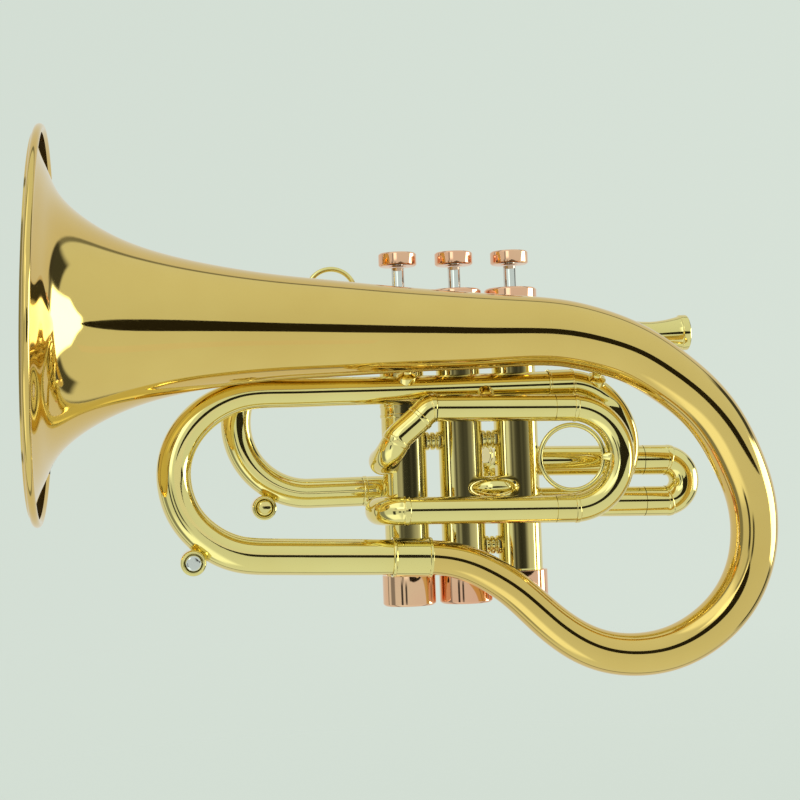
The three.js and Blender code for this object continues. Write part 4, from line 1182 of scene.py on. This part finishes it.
def build_world():
    world = bpy.data.worlds.new("studio")
    SCENE.world = world
    tree = empty_tree(world)
    camera_ray = node(tree, "ShaderNodeLightPath").outputs["Is Camera Ray"]
    coords = node(tree, "ShaderNodeTexCoord").outputs["Generated"]
    x, y, z = node(tree, "ShaderNodeSeparateXYZ", {0: coords}).outputs

    def calc(operation, *values):
        return node(tree, "ShaderNodeMath", dict(enumerate(values)),
                    operation=operation).outputs[0]

    def ramp(value, start, end):
        """0 before start, 1 past end, smooth between; start above end runs downwards."""
        levels = (0.0, 1.0) if start < end else (1.0, 0.0)
        return map_range(tree, value, min(start, end), max(start, end), *levels,
                         interpolation_type="SMOOTHSTEP")

    def mix_level(mask, level, value):
        return node(tree, "ShaderNodeMix", {0: mask, 2: level, 3: value},
                    data_type="FLOAT").outputs[0]

    degree = math.pi / 180
    azimuth = calc("DIVIDE", calc("ARCTAN2", x, calc("MULTIPLY", y, -1.0)), degree)
    elevation = calc("DIVIDE", calc("ARCSINE", z), degree)

    def panel(left, right, bottom, top, soft_az, soft_el):
        across = calc("MULTIPLY", ramp(azimuth, left - soft_az, left + soft_az),
                      ramp(azimuth, right + soft_az, right - soft_az))
        upright = calc("MULTIPLY", ramp(elevation, bottom - soft_el, bottom + soft_el),
                       ramp(elevation, top + soft_el, top - soft_el))
        return calc("MULTIPLY", across, upright)

    # tent in front, pale backdrop behind, a dark joint between them
    level = calc("ADD", 0.80, calc("MULTIPLY", calc("ABSOLUTE", z), 0.08))
    level = mix_level(ramp(y, 0.36, 0.44), level, 0.98)
    joint = calc("MULTIPLY", ramp(y, 0.30, 0.35), ramp(y, 0.43, 0.38))
    level = mix_level(calc("MULTIPLY", joint, 0.85), level, 0.18)
    for *limits, brightness in DARK_ROOM:
        level = mix_level(panel(*limits), level, brightness)

    # lamp on the +X side: a wedge that opens with azimuth between two slanted edges
    def slant(apex):
        return calc("MULTIPLY", calc("SUBTRACT", azimuth, apex), 0.9)

    wedge = calc("MULTIPLY", ramp(calc("SUBTRACT", slant(64.0), elevation), -1.5, 1.5),
                 ramp(calc("ADD", slant(61.0), elevation), -1.5, 1.5))
    level = mix_level(calc("MULTIPLY", wedge, panel(*LAMP_LIMITS)), level, LAMP_BRIGHTNESS)
    for *limits, brightness in LEFT_PANELS:
        level = mix_level(panel(*limits), level, brightness)

    tint = mix_colour(tree, ramp(y, 0.30, 0.45), (0.87, 0.95, 0.88), (0.73, 0.735, 0.66))
    # the camera sees the plain backdrop, a touch darker towards the upper left
    fall = calc("ADD", calc("MULTIPLY", x, 0.35), calc("MULTIPLY", z, -0.10))
    shade = calc("ADD", 1.0, calc("MULTIPLY", fall, 0.20))
    background = node(tree, "ShaderNodeBackground", {
        "Color": mix_colour(tree, camera_ray, tint, BACKDROP),
        "Strength": mix_level(camera_ray, level, shade)})
    node(tree, "ShaderNodeOutputWorld", {0: background.outputs[0]})


build_world()

# ------------------------------------------------------------------ studio cards, and cards that paint shade
WHITE = (0.93, 0.95, 0.88)
BLACK = (0.03, 0.025, 0.015)


def card(name, points, colour, power, one_sided=False):
    """Glowing card that only mirrors see; returns its node tree and emission node."""
    made = mesh_object(name, vec(points, float) * MM_TO_M, [list(range(len(points)))])
    material, tree = new_material(name)
    emission = node(tree, "ShaderNodeEmission", {0: (*colour, 1), 1: power})
    shader = emission
    if one_sided:
        backfacing = node(tree, "ShaderNodeNewGeometry").outputs["Backfacing"]
        clear = node(tree, "ShaderNodeBsdfTransparent")
        shader = node(tree, "ShaderNodeMixShader",
                      {0: backfacing, 1: emission.outputs[0], 2: clear.outputs[0]})
    set_surface(tree, shader)
    made.data.materials.append(material)
    made.visible_camera = made.visible_diffuse = False
    made.visible_shadow = made.visible_transmission = False
    return tree, emission


# black slot around the camera's line of sight, tapering to the right: x, z
SLOT = [(-96, 74), (-74, 24), (60, 16), (260, 24), (420, 38), (620, 56), (740, 74),
        (740, 88), (620, 108), (420, 128), (260, 146), (60, 158), (-74, 146)]
card("camera_slot", [(x, -450, z) for x, z in SLOT], (0.02, 0.018, 0.012), 1.0)
# small white card in front of the left-hand bends
card("fill_card", [(-126, -118, 48), (-20, -118, 50), (-20, -118, 70), (-126, -118, 72)],
     WHITE, 0.82)
# painted shade: dark cards, seen only in reflections, that darken the far side of the bell's lip:
# x, z
LIP_TOP = [(-186, 158), (-171, 158), (-171, 166), (-175, 178), (-178, 188), (-186, 188)]
LIP_BOTTOM = [(-188, 64), (-182, 62), (-178, 66), (-175, 74), (-174, 84), (-188, 84)]
card("lip_painted_shade_top", [(x, 25, z) for x, z in LIP_TOP], BLACK, 1.0)
card("lip_painted_shade_bottom", [(x, 25, z) for x, z in LIP_BOTTOM], BLACK, 1.0)

# ------------------------------------------------------------------ casing strips: painted reflections
# painted reflection on each casing: azimuth of the mirrored ray in degrees, brightness
HIGH = {
    1: [(-52, 0.60), (-44, 0.30), (-39, 0.10), (-34, 0.14), (-29, 0.24), (-24, 0.16),
        (-18, 0.09), (-8, 0.055), (3, 0.045), (13, 0.09), (24, 0.06), (35, 0.11),
        (46, 0.26), (58, 0.48)],
    2: [(-52, 0.62), (-44, 0.30), (-39, 0.07), (-34, 0.14), (-29, 0.27), (-24, 0.22),
        (-18, 0.12), (-8, 0.075), (3, 0.055), (13, 0.07), (24, 0.07), (35, 0.18),
        (46, 0.22), (58, 0.50)],
    3: [(-52, 0.35), (-38, 0.42), (-27, 0.46), (-21, 0.20), (-17, 0.05), (-6, 0.036),
        (14, 0.026), (25, 0.055), (36, 0.03), (47, 0.045), (53, 0.12), (60, 0.32)]}
LOW = {
    1: [(-52, 0.62), (-44, 0.26), (-39, 0.045), (-34, 0.08), (-28, 0.15), (-18, 0.045),
        (-7, 0.03), (3, 0.04), (13, 0.06), (24, 0.30), (35, 0.62), (47, 0.62), (59, 0.72)],
    2: [(-52, 0.42), (-44, 0.24), (-38, 0.12), (-27, 0.34), (-17, 0.07), (-6, 0.065),
        (4, 0.08), (15, 0.12), (25, 0.38), (36, 0.48), (48, 0.55), (60, 0.70)],
    3: [(-52, 0.46), (-44, 0.25), (-39, 0.10), (-28, 0.14), (-18, 0.08), (-7, 0.09),
        (3, 0.11), (13, 0.16), (24, 0.29), (35, 0.40), (46, 0.48), (58, 0.70)]}
# glowing strips just in front of each casing paint its reflection; the gap is from the casing to
# its strip
PAINTED_REFLECTION_BOTTOM, PAINTED_REFLECTION_SPLIT, PAINTED_REFLECTION_TOP = 14, 41, 126
PAINTED_REFLECTION_GAP = 2.4                      # between the casing and its flag


def painted_reflection_strip(name, casing_x, bottom, top, stops):
    """Painted reflection: a glowing strip close in front of a casing that only mirrors see,
    graded so the camera sees the stops mirrored.
    """
    places = []
    for azimuth, _ in stops:
        normal = math.radians((azimuth - VIEW_AZIMUTH) / 2)
        mirror_x = casing_x + CASING_R * math.sin(normal)
        depth = CASING_R + PAINTED_REFLECTION_GAP - CASING_R * math.cos(normal)
        places.append(mirror_x + depth * math.tan(math.radians(azimuth)))
    y = -(CASING_R + PAINTED_REFLECTION_GAP)
    left, right = places[0], places[-1]
    tree, emission = card(name, [(left, y, bottom), (left, y, top), (right, y, top),
                                 (right, y, bottom)], WHITE, 1.0, one_sided=True)
    left, right = left * MM_TO_M, right * MM_TO_M
    split = node(tree, "ShaderNodeSeparateXYZ", {0: object_coords(tree)})
    across = node(tree, "ShaderNodeMapRange", {0: split.outputs[0], 1: left, 2: right})
    grade = node(tree, "ShaderNodeValToRGB", {0: across.outputs[0]})
    elements = grade.color_ramp.elements
    while len(elements) < len(stops):
        elements.new(1.0)
    for i, ((_, value), place) in enumerate(zip(stops, places)):
        elements[i].position = (place * MM_TO_M - left) / (right - left)
        elements[i].color = (value, value, value, 1)
    tree.links.new(grade.outputs[0], emission.inputs[1])


for n, x in VALVES.items():
    painted_reflection_strip(f"flag_{n}_high", x, PAINTED_REFLECTION_SPLIT, PAINTED_REFLECTION_TOP, HIGH[n])
    painted_reflection_strip(f"flag_{n}_low", x, PAINTED_REFLECTION_BOTTOM, PAINTED_REFLECTION_SPLIT, LOW[n])
    # painted highlight: a narrow glowing white card that puts the bright line down the casing's
    # +X edge
    edge_x = x + 9.4
    card(f"flag_{n}_w", [(edge_x, -8.6, PAINTED_REFLECTION_BOTTOM), (edge_x, -8.6, PAINTED_REFLECTION_TOP),
                         (edge_x, -10.4, PAINTED_REFLECTION_TOP), (edge_x, -10.4, PAINTED_REFLECTION_BOTTOM)],
         (0.95, 0.97, 0.92), 2.4, one_sided=True)

# ------------------------------------------------------------------ floor, in metres
FLOOR_Z, FLOOR_R = -0.14, 1.5
FLOOR_RINGS, FLOOR_SIDES = 6, 64


def floor_material():
    """Paper in the backdrop's tone that fades out with distance, so no horizon shows."""
    material, tree = new_material("floor_paper")
    glow = node(tree, "ShaderNodeEmission", {0: (*BACKDROP, 1)})
    coords = object_coords(tree)
    grain = noise(tree, coords, scale=900.0, detail=3.0, rough=0.6)
    paper = node(tree, "ShaderNodeBsdfDiffuse", {
        "Color": mix_colour(tree, grain, (0.80, 0.86, 0.80), (0.84, 0.90, 0.84))})
    lit = node(tree, "ShaderNodeMixShader", {0: 0.12, 1: glow.outputs[0], 2: paper.outputs[0]})
    distance = node(tree, "ShaderNodeVectorMath", {0: coords}, operation="LENGTH")
    fade = map_range(tree, distance.outputs["Value"], 0.35, 1.3, 0.0, 1.0)
    clear = node(tree, "ShaderNodeBsdfTransparent")
    set_surface(tree, node(tree, "ShaderNodeMixShader",
                           {0: fade, 1: lit.outputs[0], 2: clear.outputs[0]}))
    return material


def add_floor():
    verts = [(0.0, 0.0, FLOOR_Z)]
    for i in range(1, FLOOR_RINGS + 1):
        radius = FLOOR_R * (i / FLOOR_RINGS) ** 1.5
        for k in range(FLOOR_SIDES):
            angle = 2 * math.pi * k / FLOOR_SIDES
            verts.append((radius * math.cos(angle), radius * math.sin(angle), FLOOR_Z))
    faces = [[0, 1 + k, 1 + (k + 1) % FLOOR_SIDES] for k in range(FLOOR_SIDES)]
    for i in range(FLOOR_RINGS - 1):
        faces += band(1 + i * FLOOR_SIDES, 1 + (i + 1) * FLOOR_SIDES, FLOOR_SIDES)
    floor = mesh_object("floor", verts, faces)
    floor.data.materials.append(floor_material())
    floor.visible_glossy = False


add_floor()

SCENE.view_settings.view_transform = "Standard"
